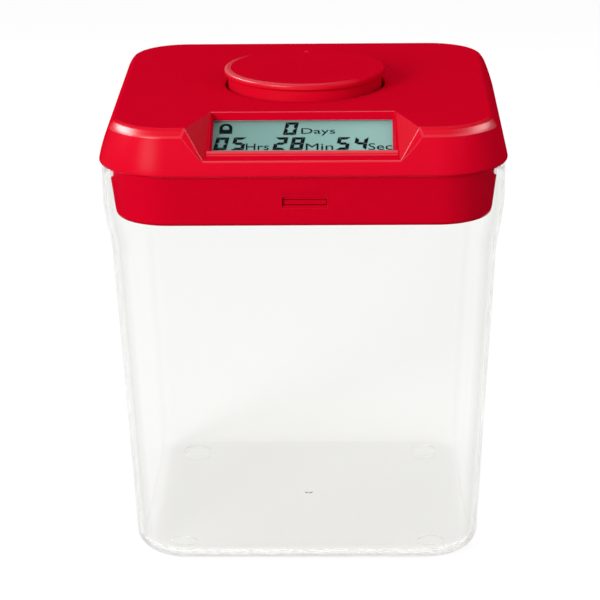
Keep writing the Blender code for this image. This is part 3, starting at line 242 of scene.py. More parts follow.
def soften(piece, edge_at, gloss_at, least_angle=12.0, segments=3):
    """Round edges. edge_at(midpoint) gives an edge's width and gloss, or nothing to leave it sharp.
    gloss_at(centre, normal) gives the gloss of a face that isn't an edge."""
    work = bmesh.new()
    work.from_mesh(piece.data)
    bmesh.ops.remove_doubles(work, verts=work.verts, dist=2e-6)
    bmesh.ops.dissolve_edges(work, edges=flat_inner_edges(work), use_verts=True)
    layer = work.edges.layers.float.new("bevel_weight_edge")
    work.edges.index_update()
    chosen, samples = {}, []
    for edge in work.edges:
        if edge.is_convex and edge.calc_face_angle(0) > math.radians(least_angle):
            first, second = (vert.co for vert in edge.verts)
            found = edge_at((first + second) / 2)
            if found:
                chosen[edge.index] = found[0]
                steps = 2 + int((second - first).length / 0.001)
                samples += [(first.lerp(second, i / steps), found[1]) for i in range(steps + 1)]
    widest = max(chosen.values())
    work.edges.ensure_lookup_table()
    for index, width in chosen.items():
        work.edges[index][layer] = width / widest
    work.to_mesh(piece.data)
    work.free()
    piece.data.materials.append(None)
    piece.data.materials.append(None)
    bevel = piece.modifiers.new("rounded edges", "BEVEL")
    bevel.limit_method, bevel.width, bevel.segments = "WEIGHT", widest, segments
    bevel.use_clamp_overlap, bevel.material = False, 1
    apply_modifiers(piece)
    tree = KDTree(len(samples))
    for i, (place, _) in enumerate(samples):
        tree.insert(place, i)
    tree.balance()
    gloss = []
    for face in piece.data.polygons:
        if face.material_index == 1:
            gloss.append(samples[tree.find(face.center)[1]][1])
        else:
            gloss.append(gloss_at(face.center, face.normal))
    piece.data.polygons.foreach_set("material_index", [0] * len(gloss))
    print(piece.name, len(chosen), "edges rounded,", len(gloss), "faces")
    return smooth(mark_gloss(piece, gloss))


def mark_gloss(piece, gloss):
    """Keep one gloss number per face."""
    mark = piece.data.attributes.new("gloss", "FLOAT", "FACE")
    mark.data.foreach_set("value", gloss)
    return piece


def smooth(piece):
    """Shade smooth with normals weighed by face area, keeping edges sharper than the limit."""
    piece.data.shade_smooth()
    piece.data.set_sharp_from_angle(angle=SHARP)
    weighed = piece.modifiers.new("weighed normals", "WEIGHTED_NORMAL")
    weighed.mode, weighed.weight, weighed.keep_sharp = "FACE_AREA", 60, True
    apply_modifiers(piece)
    return piece


def place_piece(piece, body, slot, *replaced):
    """Hang a piece on its body and hide the CAD nodes that it stands for. Its slot is not used."""
    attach(piece, body)
    if replaced:
        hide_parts(*replaced)
    return piece

# %% [markdown]
# The container is one clear moulding. Its walls lean out by three degrees, swell at a shoulder and end
# in a nearly upright collar. It is lofted up the outside, over the rim and down the inside, so that
# light is bent by a true wall thickness. A single skin with a glass material would look like a solid
# block instead. The rim slopes outside, because its flat top would show as a white line under the lid.

# %% The clear container
def wall_half(z):
    """Half width of the container's outside at one height."""
    body = BASE_HALF + BODY_DRAFT * z
    collar = COLLAR_HALF + COLLAR_DRAFT * (z - SHOULDER_HIGH_Z)
    t = portion(z, SHOULDER_LOW_Z, SHOULDER_HIGH_Z)
    return body + (collar - body) * t * t * (3 - 2 * t)


def wall_centre(z):
    """Place of the container's corner arcs at one height."""
    return BASE_CORNER + (CORNER - BASE_CORNER) * min(1, z / SHOULDER_HIGH_Z)


def inner_half(z):
    """Half width of the container's inside at one height."""
    return wall_half(z) - CONTAINER_WALL


BASE_Z, BASE_FILLET, INNER_FILLET, RIM_EDGE = 0.0010, 0.0070, 0.0060, 0.0006
LEAD_HIGH, LEAD_DEEP, LEAD_SHALLOW, LEAD_BEND = 0.0026, 0.0017, 0.0004, 0.4
FOOT_OFFSET, FOOT_RADIUS, FOOT_EDGE = 0.052, 0.0062, 0.0004
RIB_HALF, RIB_DEEP, RIB_FULL, RIB_HIGH = 0.0090, 0.00125, 0.0010, 0.0046


def lead_in_loop(rise):
    """Loop of the slope outside the rim, deep at the front and back and shallow elsewhere."""
    bent = rise * rise if rise < LEAD_BEND else LEAD_BEND * (2 * rise - LEAD_BEND)
    share = bent / (LEAD_BEND * (2 - LEAD_BEND))
    deep, shallow = (rounded_square(RIM_HALF - depth * share, CORNER, RIM_Z - LEAD_HIGH * (1 - rise))
                     for depth in (LEAD_DEEP, LEAD_SHALLOW))
    loop = []
    for (x0, y0, z), (x1, y1, _) in zip(deep, shallow):
        narrow = portion(math.degrees(math.atan2(abs(x1 - x0), abs(y1 - y0))), 20, 45)
        loop.append((x0 + (x1 - x0) * narrow, y0 + (y1 - y0) * narrow, z))
    return loop


def make_container():
    """Clear body with its feet, the gate mark and the two catch ribs."""
    heights = [SHOULDER_LOW_Z + (SHOULDER_HIGH_Z - SHOULDER_LOW_Z) * i / 14 for i in range(15)]
    loops = bottom_round(BASE_Z, BASE_FILLET, wall_half, wall_centre)
    loops += [rounded_square(wall_half(z), wall_centre(z), z) for z in heights]
    loops += [lead_in_loop(rise) for rise in (0, 0.1, 0.2, 0.3, 0.4, 0.6, 0.8, 1)]
    for step in range(5):
        angle = step / 4 * math.pi / 2
        out, down = CONTAINER_WALL - RIM_EDGE * (1 - math.sin(angle)), RIM_EDGE * (1 - math.cos(angle))
        loops.append(rounded_square(RIM_HALF - out, CORNER, RIM_Z - down))
    loops += [rounded_square(inner_half(z), wall_centre(z), z) for z in reversed(heights)]
    loops += reversed(bottom_round(FLOOR_Z, INNER_FILLET, inner_half, wall_centre))
    body = loft("clear_container", loops)
    foot = [(FOOT_RADIUS - FOOT_EDGE, 0), (FOOT_RADIUS - 0.3 * FOOT_EDGE, 0.3 * FOOT_EDGE),
            (FOOT_RADIUS, FOOT_EDGE), (FOOT_RADIUS, FLOOR_Z - GAP)]
    for place in four_places(FOOT_OFFSET):
        combine(body, turned("foot", foot, place, 48), "UNION")
    gate = [(0.0018, FLOOR_Z - GAP), (0.0018, FLOOR_Z), (0.0015, FLOOR_Z + 0.0002),
            (0.0008, FLOOR_Z + 0.0003)]
    combine(body, turned("gate", gate, (0, 0), 24), "UNION")
    low, inner = BOLT_TOP_Z + GAP, inner_half(BOLT_TOP_Z + GAP)
    for side in (-1, 1):
        near, far = side * (inner - RIB_DEEP), side * (inner + CONTAINER_WALL / 2)
        outline = [(near, low), (far, low), (far, low + RIB_HIGH), (side * inner, low + RIB_HIGH),
                   (near, low + RIB_FULL)]
        loops = [[(x, y, z) for y, z in outline] for x in (LOCK_X - RIB_HALF, LOCK_X + RIB_HALF)]
        combine(body, loft("rib", loops if side > 0 else loops[::-1]), "UNION")
    return smooth(body)


container = place_piece(make_container(), "container", "clear_plastic", "container_body")
print("container faces", len(container.data.polygons))

# %% [markdown]
# The lid's cap is a square dish turned over, with a skirt that leans in, a chamfered top edge and a
# notch whose floor slopes towards the person. Each flank of the notch is a plane through three points,
# with a second plane where the flank meets the skirt. The same planes moved out by the wall give the
# cavity, so the plastic is equally thick everywhere, as in a real moulding.

# %% The notch and the display's slope
def on_slope(x, along, depth):
    """Point in the slope's own measures: along it from its back edge, and into it."""
    y = NOTCH_BACK_Y - along * math.cos(SLOPE) + depth * math.sin(SLOPE)
    return (x, y, TOP_Z - along * math.sin(SLOPE) - depth * math.cos(SLOPE))


def slope_z(y):
    """Height of the slope's surface."""
    return TOP_Z - (NOTCH_BACK_Y - y) * math.tan(SLOPE)


def flank(first, second, third):
    """The plane x = a + b y + c z through three points."""
    normal = (Vector(second) - Vector(first)).cross(Vector(third) - Vector(first))
    b, c = -normal.y / normal.x, -normal.z / normal.x
    return first[0] - b * first[1] - c * first[2], b, c


LEDGE_ALONG, FRONT_CREASE = 0.0289, (-0.0806, 0.17563)
BACK_CORNER, TOP_CORNER = (0.0372, NOTCH_BACK_Y, TOP_Z), (0.0460, -TOP_HALF, TOP_Z)
MAIN_FLANK = flank(BACK_CORNER, TOP_CORNER, (0.0382, NOTCH_FRONT_Y, TOP_Z - NOTCH_DROP))
FLARE = flank(TOP_CORNER, (0.0473, -CREASE_HALF, CREASE_Z), (0.0388, *FRONT_CREASE))


def floor_z(y):
    """Height of the notch's floor: the display's slope, then a flatter ledge up to the front crease."""
    ledge_y, ledge_z = on_slope(0, LEDGE_ALONG, 0)[1:]
    if y > ledge_y:
        return slope_z(y)
    return ledge_z + (FRONT_CREASE[1] - ledge_z) * (y - ledge_y) / (FRONT_CREASE[0] - ledge_y)


def notch(wall):
    """The space above the notch's floor, grown by a wall on its sides and below."""
    tools = []
    front, ledge = -LIP_HALF - wall, on_slope(0, LEDGE_ALONG, 0)[1]
    for (a, b, c), back in ((MAIN_FLANK, NOTCH_BACK_Y + wall), (FLARE, -TOP_HALF + 0.0030)):
        grow = wall * math.sqrt(1 + b * b + c * c)
        sections = []
        for y in [front] + ([ledge] if back > ledge else []) + [back]:
            low, high = floor_z(y) - wall / math.cos(SLOPE), KNOB_TOP_Z
            sections.append([(side * (a + b * y + c * z + grow), y, z)
                             for side, z in ((-1, low), (-1, high), (1, high), (1, low))])
        tools.append(loft("notch", sections))
    return tools


def bead(along, width, height, half_x=0.0376):
    """Low rounded ridge across the ledge in front of the display."""
    angles = [math.pi * i / 8 for i in range(9)]
    points = [(along - width / 2 * math.cos(a), -height * math.sin(a)) for a in angles]
    points = [(points[0][0], 0.0004)] + points + [(points[-1][0], 0.0004)]
    return loft("bead", [[on_slope(x, place, depth) for place, depth in points[::-1]]
                         for x in (-half_x, half_x)])

# %% The lid's cap
LIP_ROUND, SKIRT_CURVE = 0.0012, 1.35
WELL_ROUND, TOP_ROUND, CREASE_ROUND, FINE_ROUND = 0.0004, 0.0011, 0.0012, 0.00014
WINDOW_HALF, WINDOW_SIDE, WINDOW_END = 0.0370, 0.0364, 0.0260
TOUCH, CLOSE, SKIN = 0.0001, 0.0002, 0.0006


def cap_half(z):
    """Half width of the cap's outside at one height. The skirt swells a little between its edges."""
    if z > CREASE_Z:
        return CREASE_HALF + (TOP_HALF - CREASE_HALF) * (z - CREASE_Z) / (TOP_Z - CREASE_Z)
    t = max(0, (z - LIP_Z) / (CREASE_Z - LIP_Z))
    return LIP_HALF + (CREASE_HALF - LIP_HALF) * t ** SKIRT_CURVE


def cap_reach(point):
    """Distance from the axis as a rounded square measures it."""
    corner = max(0, abs(point.x) - CORNER), max(0, abs(point.y) - CORNER)
    if corner[0] and corner[1]:
        return CORNER + math.hypot(*corner)
    return max(abs(point.x), abs(point.y))


def frontness(point):
    """One on the lid's front, falling to nothing round the corners."""
    return portion(-point.y, 0.058, 0.068)


def on_plane(plane, point):
    """Whether a point lies on a flank plane, on either side."""
    a, b, c = plane
    return abs(abs(point.x) - (a + b * point.y + c * point.z)) < TOUCH


def cap_edge(point):
    """Width and gloss of an edge of the cap, by where it lies. Edges inside the cavity stay sharp."""
    x, y, z = point
    along = (NOTCH_BACK_Y - y) / math.cos(SLOPE)
    reach, front, on_top = cap_reach(point), frontness(point), z > TOP_Z - CLOSE
    if math.hypot(x, y) < WELL_RADIUS + 2 * CLOSE:
        return (WELL_ROUND, 0.0) if on_top else None
    if abs(x) < BACK_CORNER[0] and abs(z - slope_z(y)) < TOUCH and along < WINDOW_END:
        if abs(x) > WINDOW_SIDE:
            return 0.00008, 0.2
        return (0.0004 if along < 0.001 else 0.0005), 0.8
    if on_plane(MAIN_FLANK, point) and on_plane(FLARE, point):
        return FINE_ROUND, 0.9
    if on_plane(MAIN_FLANK, point) and on_top:
        return 0.0007, 0.0
    if on_top:
        return (TOP_ROUND, 0.10 * front) if reach > TOP_HALF - 0.0003 else (0.0005, 0.0)
    if reach < cap_half(z) - SKIN:
        return None
    if z > CREASE_Z - 0.0003:
        return CREASE_ROUND - 0.0007 * front, 0.85 * front
    if z > LIP_Z + 0.002:
        return (FINE_ROUND if on_plane(FLARE, point) else 0.0005), 0.9
    return None


def cap_gloss(centre, normal):
    """Gloss of the cap's faces: beads and the front chamfer are polished, the skirt a little, the top not."""
    x, y, z = abs(centre.x), centre.y, centre.z
    if x < 0.0377 and -0.0790 < y < -0.0720 and z > floor_z(y) + 0.00001:
        return 0.7
    if cap_reach(centre) > cap_half(z) - SKIN:
        if z > CREASE_Z + 0.0004:
            return (0.32 + 0.6 * portion(x, 0.058, 0.066)) * frontness(centre)
        fade = -0.03 if centre.x < 0 else -0.10
        return (0.10 + fade * portion(x, 0.053, 0.065)) * frontness(centre)
    if on_plane(FLARE, centre) and y < -0.0735:
        return 0.7
    return 0.08 if y < NOTCH_BACK_Y and abs(normal.x) > 0.5 else 0.0


def make_cap():
    """Cap with its notch, window, knob well and posts."""
    lip = bottom_round(LIP_Z, LIP_ROUND, lambda z: cap_half(LIP_Z + LIP_ROUND), steps=5)
    heights = [LIP_Z + LIP_ROUND + (CREASE_Z - LIP_Z - LIP_ROUND) * i / 8 for i in range(1, 9)]
    skirt = [rounded_square(cap_half(z), CORNER, z) for z in heights]
    cap = loft("lid_cap", lip + skirt + [rounded_square(TOP_HALF, CORNER, TOP_Z)])
    inside, ceiling = FLANGE_HALF + GAP, TOP_Z - SHELL_WALL
    cavity = loft("cavity", [rounded_square(half, CORNER, z) for half, z in (
        (inside, LIP_Z - SHELL_WALL), (inside, FLANGE_TOP_Z + GAP),
        (CREASE_HALF - SHELL_WALL, CREASE_Z - SHELL_WALL), (TOP_HALF - SHELL_WALL, ceiling))])
    for tool in notch(0):
        combine(cap, tool)
    for tool in notch(SLOPE_WALL):
        combine(cavity, tool)
    combine(cap, cavity)
    well = rod("well", WELL_RADIUS + SHELL_WALL, WELL_FLOOR_Z, ceiling + GAP, steps=ROUND_STEPS)
    combine(cap, well, "UNION")
    for offset, radius, low in ((COLUMN_OFFSET, COLUMN_RADIUS, FLANGE_TOP_Z + GAP), (0.031, 0.0030, 0.1737)):
        for place in four_places(offset):
            combine(cap, rod("post", radius, low, ceiling + GAP, place), "UNION")
    combine(cap, rod("knob hole", WELL_RADIUS, WELL_TOP_Z, KNOB_TOP_Z, steps=ROUND_STEPS))
    combine(cap, rod("sleeve hole", 0.0047, WELL_FLOOR_Z - GAP, WELL_TOP_Z + GAP, steps=48))
    loops = []
    for depth, shrink in ((2 * SLOPE_WALL, 0.0024), (0.0009, 0.00045), (-SLOPE_WALL, 0)):
        half, back = WINDOW_HALF - shrink, depth * math.tan(SLOPE)
        front = back + WINDOW_LENGTH
        loops.append([on_slope(-half, front, depth), on_slope(half, front, depth),
                      on_slope(half, back, depth), on_slope(-half, back, depth)])
    combine(cap, loft("window", loops))
    combine(cap, bead(0.0270, 0.0021, 0.00035), "UNION")
    combine(cap, bead(0.0289, 0.0007, 0.00018), "UNION")
    return soften(cap, cap_edge, cap_gloss)


cap = place_piece(make_cap(), "lid", "lid_plastic", "lid_top_shell")

# %% [markdown]
# Under the cap sits the plug, a tray that drops into the collar. Its flange hides inside the cap and
# its tapered wall is what shows red through the clear collar, with a slot for the bolt at the front
# and at the back. The underside carries the battery cover and four screw pockets, which show when the
# lid is off.

# %% The plug under the lid
def plug_half(z):
    """Half width of the plug's outside at one height."""
    return PLUG_BOTTOM + (PLUG_TOP - PLUG_BOTTOM) * (z - PLUG_Z) / (LIP_Z - PLUG_Z)


def plug_edge(point):
    """Small rounding on the slots and on the underside's openings."""
    reach = max(abs(point.x), abs(point.y))
    if point.z < PLUG_Z + TOUCH and reach < PLUG_BOTTOM - 0.003:
        return 0.0003, 0.1
    on_wall = abs(abs(point.y) - plug_half(point.z)) < 0.0003
    if on_wall and abs(point.x - LOCK_X) < 0.0092 and 0.1552 < point.z < 0.161:
        return 0.00025, 0.3
    return None


def battery_room(name, margin, low, high):
    """Upright box round the cells, with a margin on all four sides."""
    x, y = 0.0155 + margin, 0.0298 + margin
    return block(name, (-0.0510 - x, -y, low), (-0.0510 + x, y, high))


def make_plug():
    """Tray with flange, slots, screw columns, battery box and motor cradle."""
    wall, root, top = 0.0020, TRAY_Z - 0.0010, TRAY_Z + 0.0172
    loops = bottom_round(PLUG_Z, 0.0020, plug_half, steps=8)
    loops += [rounded_square(half, CORNER, z) for half, z in (
        (PLUG_TOP, LIP_Z), (FLANGE_HALF, LIP_Z), (FLANGE_HALF, FLANGE_TOP_Z),
        (PLUG_TOP - wall, FLANGE_TOP_Z), (plug_half(TRAY_Z) - wall, TRAY_Z))]
    plug = loft("lid_plug", loops)
    for place in four_places(COLUMN_OFFSET):
        combine(plug, rod("column", COLUMN_RADIUS, root, FLANGE_TOP_Z, place), "UNION")
        combine(plug, rod("bore", SCREW_BORE, root, FLANGE_TOP_Z + GAP, place, 24))
        combine(plug, rod("pocket", 0.0031, PLUG_Z - GAP, PLUG_Z + 0.0024, place))
    combine(plug, battery_room("ledge", 0.0052, root, TRAY_Z + 0.0012), "UNION")
    combine(plug, battery_room("battery box", 0.0016, root, top), "UNION")
    combine(plug, battery_room("room", 0, PLUG_Z - GAP, top - 0.0016))
    combine(plug, battery_room("rebate", 0.0036, PLUG_Z - GAP, TRAY_Z))
    for x, high in ((LOCK_X, 0.1546), (LOCK_X + 0.020, 0.1592)):
        combine(plug, rod("boss", 0.0040, root, high, (x, 0)), "UNION")
        combine(plug, rod("bore", SCREW_BORE, TRAY_Z, high + GAP, (x, 0), 24))
    cradle = [(0.0125, root), (0.0145, root), (0.0145, 0.1562), (0.0125, 0.1562)]
    combine(plug, turned("cradle", cradle, (LOCK_X + 0.039, 0), 64, closed=True), "UNION")
    for side in (-1, 1):
        for name, start, low, high in (("opening", PLUG_BOTTOM - 2 * wall, 0.1566, 0.1592),
                                       ("slot", plug_half(0.158) - 0.0008, 0.15565, 0.16055)):
            near, far = sorted((side * start, side * (PLUG_TOP + wall)))
            combine(plug, block(name, (LOCK_X - SLOT_HALF, near, low), (LOCK_X + SLOT_HALF, far, high)))
    return soften(plug, plug_edge, lambda centre, normal: 0.0, 40, 2)


plug = place_piece(make_plug(), "lid", "lid_plastic", "lid_lower_housing")

# %% [markdown]
# The knob is turned: a flat disc with a soft rim on a narrower neck. The disc's top is a shallow dish
# and a small round dimple near its back edge shows where it points. A lathe profile with many
# segments gives a clean circular highlight, which a faceted cylinder never does.

# %% The knob
def rounded_profile(points, radius, steps=6):
    """Profile with its corners rounded. A corner given as (radius, height, False) stays sharp."""
    result = []
    for i, point in enumerate(points):
        here = Vector(point[:2])
        if len(point) == 3 or i in (0, len(points) - 1):
            result.append(tuple(here))
            continue
        before, after = Vector(points[i - 1][:2]) - here, Vector(points[i + 1][:2]) - here
        reach = min(radius, before.length / 2.2, after.length / 2.2)
        start, end = here + before.normalized() * reach, here + after.normalized() * reach
        for step in range(steps + 1):
            t = step / steps
            result.append(tuple(start * (1 - t) ** 2 + here * 2 * t * (1 - t) + end * t ** 2))
    return result


def make_knob():
    """Dished disc on a hollow neck, with a hub for the shaft and a dimple."""
    top, disc, edge = KNOB_TOP_Z, KNOB_DISC_Z, KNOB_RADIUS
    ceiling, neck, wall = top - 0.0023, 0.0320, 0.0020
    outline = rounded_profile([
        (0.0033, 0.1919, False), (0.0033, 0.1835, False), (0.0060, 0.1835, False), (0.0060, ceiling, False),
        (neck - wall, ceiling, False), (neck - wall, 0.1815), (neck, 0.1815), (neck, disc), (edge, disc),
        (edge, top), (0.0310, top, False), (0.0260, top - 0.00005, False), (0.0200, top - 0.00012, False),
        (0.0100, top - 0.0002, False), (0.0020, top - 0.00022, False)], 0.0012)
    knob = turned("turning_knob", outline, (0, 0), 160)
    dimple = [(0.0002, top - 0.00055), (0.0007, top - 0.0005), (0.0011, top - 0.00032),
              (0.0014, top - 0.0001), (0.0016, top + 0.0003)]
    combine(knob, turned("dimple", dimple, (0, DIMPLE_Y), 40))
    gloss = []
    for face in knob.data.polygons:
        x, y, z = face.center
        radius = math.hypot(x, y)
        front = max(0, (-0.75 * x - 0.75 * y) / radius) if radius else 0
        if math.hypot(x, y - DIMPLE_Y) < 0.0017 and ceiling < z < top - 0.00026:
            gloss.append(0.25)
        elif radius > neck and z > disc:
            gloss.append(0.55 * front)
        else:
            gloss.append(0.3 * front if radius > neck - 0.0003 else 0.0)
    return smooth(mark_gloss(knob, gloss))


knob = place_piece(make_knob(), "knob", "lid_plastic", "dial_knob")
print("knob faces", len(knob.data.polygons))

# %% [markdown]
# The display is a liquid crystal panel behind a thin clear window. Its dark shapes are thin plates that
# lie just above the panel, because a real segment is a separate layer with a shadow of its own. The
# digits lean, have seven segments with gaps between them, and stand beside plain words for the units.

# %% The digits
LCD_DEPTH = 0.0044
INK_DEPTH = (LCD_DEPTH - 0.00010, LCD_DEPTH - 0.00002)
DIGIT_HEIGHT, DIGIT_WIDTH, STROKE = 0.0083, 0.0051, 0.00150
LEAN = math.tan(math.radians(8))
SEGMENTS = {"0": "abcdef", "2": "abged", "4": "fgbc", "5": "afgcd", "8": "abcdefg"}


def ink_plate(name, outline, depths=INK_DEPTH):
    """Thin plate on the panel from (across, along) points, in either direction."""
    area = sum(x0 * y1 - x1 * y0 for (x0, y0), (x1, y1) in zip(outline, outline[1:] + outline[:1]))
    if area > 0:
        outline = list(reversed(outline))
    return loft(name, [[on_slope(x, along, depth) for x, along in outline] for depth in reversed(depths)])


def segment_outline(letter):
    """One segment of a digit, in its upright box, as (across, along) points."""
    w, h, s = DIGIT_WIDTH, DIGIT_HEIGHT, STROKE
    g, half, middle = 0.00013, STROKE / 2, DIGIT_HEIGHT / 2
    if letter == "g":
        return [(half + g, middle), (s + g, middle - half), (w - s - g, middle - half),
                (w - half - g, middle), (w - s - g, middle + half), (s + g, middle + half)]
    outline = [(g, 0), (w - g, 0), (w - s - g, s), (s + g, s)]
    if letter in "fbec":
        outline = [(0, g), (s, s + g), (s, middle - half - g), (half, middle - g), (0, middle - g)]
    if letter in "dec":
        outline = [(x, h - along) for x, along in outline]
    if letter in "bc":
        outline = [(w - x, along) for x, along in outline]
    return outline


def join_meshes(name, pieces):
    """One object from several closed meshes."""
    work = bmesh.new()
    for piece in pieces:
        work.from_mesh(piece.data)
        bpy.data.objects.remove(piece)
    mesh = bpy.data.meshes.new(name)
    work.to_mesh(mesh)
    work.free()
    return link_object(name, mesh)


def make_digits(name, text, places, top):
    """Digits whose upper left corners stand at given places across the panel."""
    plates = []
    for digit, left in zip(text, places):
        for letter in SEGMENTS[digit]:
            leaning = [(left + x + (DIGIT_HEIGHT / 2 - along) * LEAN, top + along)
                       for x, along in segment_outline(letter)]
            plates.append(ink_plate("segment", leaning))
    return join_meshes(name, plates)


digits = [make_digits("digits_days", "0", [-0.00735], 0.0016),
          make_digits("digits_hours", "05", [-0.03480, -0.02785], 0.01145),
          make_digits("digits_minutes", "28", [-0.01135, -0.00460], 0.01155),
          make_digits("digits_seconds", "54", [0.01355, 0.02055], 0.01165)]
for piece in digits:
    place_piece(piece, "lid", "black_plastic")
print("digit plates", sum(len(p.data.polygons) for p in digits))

# %% [markdown]
# The words are made with the built-in font, turned into a mesh and fitted to the width and the cap
# height that the display shows. The padlock is an arch over a block, cut from one outline.

# %% The words and the padlock
def make_word(name, text, left, right, top, baseline):
    """Word in the built-in font, fitted between two places across and two along the panel."""
    curve = bpy.data.curves.new(name, "FONT")
    curve.body, curve.size, curve.extrude, curve.resolution_u = text, 1.0, 0.5, 3
    shape = link_object(name, curve)
    graph = bpy.context.evaluated_depsgraph_get()
    mesh = bpy.data.meshes.new_from_object(shape.evaluated_get(graph))
    bpy.data.objects.remove(shape)
    work = bmesh.new()
    work.from_mesh(mesh)
    bmesh.ops.remove_doubles(work, verts=work.verts, dist=1e-5)
    bmesh.ops.recalc_face_normals(work, faces=work.faces)
    work.to_mesh(mesh)
    work.free()
    xs = [v.co.x for v in mesh.vertices]
    cap_height = 0.729
    across = (right - left) / (max(xs) - min(xs))
    along = (baseline - top) / cap_height
    for vertex in mesh.vertices:
        x, y, z = vertex.co
        depth = INK_DEPTH[0] if z > 0 else INK_DEPTH[1]
        vertex.co = on_slope(left + (x - min(xs)) * across, baseline - y * along, depth)
    return link_object(name, mesh)


def make_padlock():
    """Arch over a block, with the opening under the arch."""
    centre, half, top, springing = -0.03075, 0.00255, 0.0023, 0.0027
    outlines = []
    for reach, rise, sill, steps in ((half, springing, 0.0090, 12), (half / 2, 0.0014, top + 0.0040, 10)):
        angles = [math.pi * i / steps for i in range(steps + 1)]
        arch = [(centre + reach * math.cos(a), top + springing - rise * math.sin(a)) for a in angles]
        outlines.append([(centre + reach, sill)] + arch + [(centre - reach, sill)])
    lock = ink_plate("padlock_mark", outlines[0])
    combine(lock, ink_plate("opening", outlines[1], (INK_DEPTH[0] - 0.0001, INK_DEPTH[1] + 0.0001)))
    return lock


words = [make_word("word_days", "Days", -0.00065, 0.01290, 0.0053, 0.0092),
         make_word("word_hours", "Hrs", -0.02245, -0.01335, 0.0153, 0.0198),
         make_word("word_minutes", "Min", 0.00125, 0.01215, 0.0154, 0.0199),
         make_word("word_seconds", "Sec", 0.02605, 0.03545, 0.0155, 0.0200), make_padlock()]
for piece in words:
    place_piece(piece, "lid", "black_plastic")
print("words", [p.name for p in words])

# %% [markdown]
# Effects that several finishes share are node groups, built once. Grain gives the faint unevenness of a
# moulded surface as a height and a shade. Wear finds convex edges. Dust gathers on faces that look up.
# Each group puts out only values that change over the surface, so an exporter can bake them. Two helpers
# make and feed every node, whose inputs are given as values or as sockets of other nodes.

# %% Shared effects as node groups
def feed(node, *inputs, **named):
    """Give the inputs of a node, in order or by name, values or sockets to link."""
    for key, value in [*enumerate(inputs), *named.items()]:
        socket = node.inputs[key.replace("_", " ") if isinstance(key, str) else key]
        if isinstance(value, bpy.types.NodeSocket):
            node.id_data.links.new(value, socket)
        else:
            socket.default_value = value
    return node


def add_node(tree, kind, *inputs, **named):
    """New shader node with some of its inputs given."""
    return feed(tree.nodes.new("ShaderNode" + kind), *inputs, **named)


def new_group(name, inputs, outputs):
    """Node group with float inputs given as name and default, and float outputs."""
    tree = bpy.data.node_groups.new(name, "ShaderNodeTree")
    for label, value in inputs:
        tree.interface.new_socket(label, in_out="INPUT", socket_type="NodeSocketFloat").default_value = value
    for label in outputs:
        tree.interface.new_socket(label, in_out="OUTPUT", socket_type="NodeSocketFloat")
    return tree, tree.nodes.new("NodeGroupInput"), tree.nodes.new("NodeGroupOutput")


def math_node(tree, operation, first, second):
    """Result of a Math node whose two inputs are numbers or sockets."""
    node = add_node(tree, "Math", first, second)
    node.operation = operation
    return node.outputs[0]


def either(tree, *values):
    """The largest of some sockets, which is a logical or between noughts and ones."""
    largest = values[0]
    for value in values[1:]:
        largest = math_node(tree, "MAXIMUM", largest, value)
    return largest


def map_range(tree, value, low, high, start=0.0, end=1.0):
    """Map the values from start to end to a range, and hold them there beyond it."""
    node = add_node(tree, "MapRange", Value=value, From_Min=start, From_Max=end, To_Min=low, To_Max=high)
    return node.outputs[0]


def make_grain_group():
    """Fine and coarse noise mixed: a height for bump and a shade around one half."""
    tree, given, result = new_group("moulded_grain", [("Fine", 2500.0), ("Coarse", 60.0)],
                                    ["Height", "Shade"])
    place = add_node(tree, "TexCoord").outputs["Object"]
    fine, coarse = (add_node(tree, "TexNoise", Vector=place, Scale=given.outputs[label], Detail=detail)
                    for label, detail in (("Fine", 3.0), ("Coarse", 2.0)))
    shade = math_node(tree, "ADD", math_node(tree, "MULTIPLY", fine.outputs["Fac"], 0.4),
                      math_node(tree, "MULTIPLY", coarse.outputs["Fac"], 0.6))
    feed(result, Height=fine.outputs["Fac"], Shade=shade)
    return tree


def make_wear_group():
    """Mask of convex edges, from the surface's pointiness."""
    tree, given, result = new_group("edge_wear", [("Amount", 1.0)], ["Mask"])
    mask = map_range(tree, add_node(tree, "NewGeometry").outputs["Pointiness"], 0.0, 1.0, 0.52, 0.62)
    feed(result, Mask=math_node(tree, "MULTIPLY", mask, given.outputs["Amount"]))
    return tree


def make_dust_group():
    """Mask of specks on faces that look up."""
    tree, given, result = new_group("settled_dust", [("Amount", 1.0), ("Scale", 900.0)], ["Mask"])
    place = add_node(tree, "TexCoord").outputs["Object"]
    noise = add_node(tree, "TexNoise", Vector=place, Scale=given.outputs["Scale"]).outputs["Fac"]
    normal = add_node(tree, "SeparateXYZ", add_node(tree, "NewGeometry").outputs["Normal"])
    mask = math_node(tree, "MULTIPLY", map_range(tree, noise, 0.0, 1.0, 0.58, 0.75),
                     math_node(tree, "MAXIMUM", normal.outputs["Z"], 0.0))
    feed(result, Mask=math_node(tree, "MULTIPLY", mask, given.outputs["Amount"]))
    return tree


def make_polish_group():
    """Weight of a gloss coat, from the gloss that the faces keep."""
    tree, given, result = new_group("mould_polish", [("Amount", 1.0)], ["Weight"])
    mark = add_node(tree, "Attribute")
    mark.attribute_name = "gloss"
    feed(result, Weight=math_node(tree, "MULTIPLY", mark.outputs["Fac"], given.outputs["Amount"]))
    return tree


GROUPS = {"grain": make_grain_group(), "wear": make_wear_group(), "dust": make_dust_group(),
          "polish": make_polish_group()}
print("groups", sorted(g.name for g in GROUPS.values()))

# %% [markdown]
# A finish starts from one Principled shader. Its uniform numbers are set straight on the shader, and
# the groups feed only colour, roughness and normal. The colour moves a little with the coarse noise,
# gets lighter on worn edges and duller under dust.

# %% A builder for finishes
def use_group(tree, key, **values):
    """Outputs of a group node with some of its inputs given."""
    node = add_node(tree, "Group")
    node.node_tree = GROUPS[key]
    return feed(node, **values).outputs


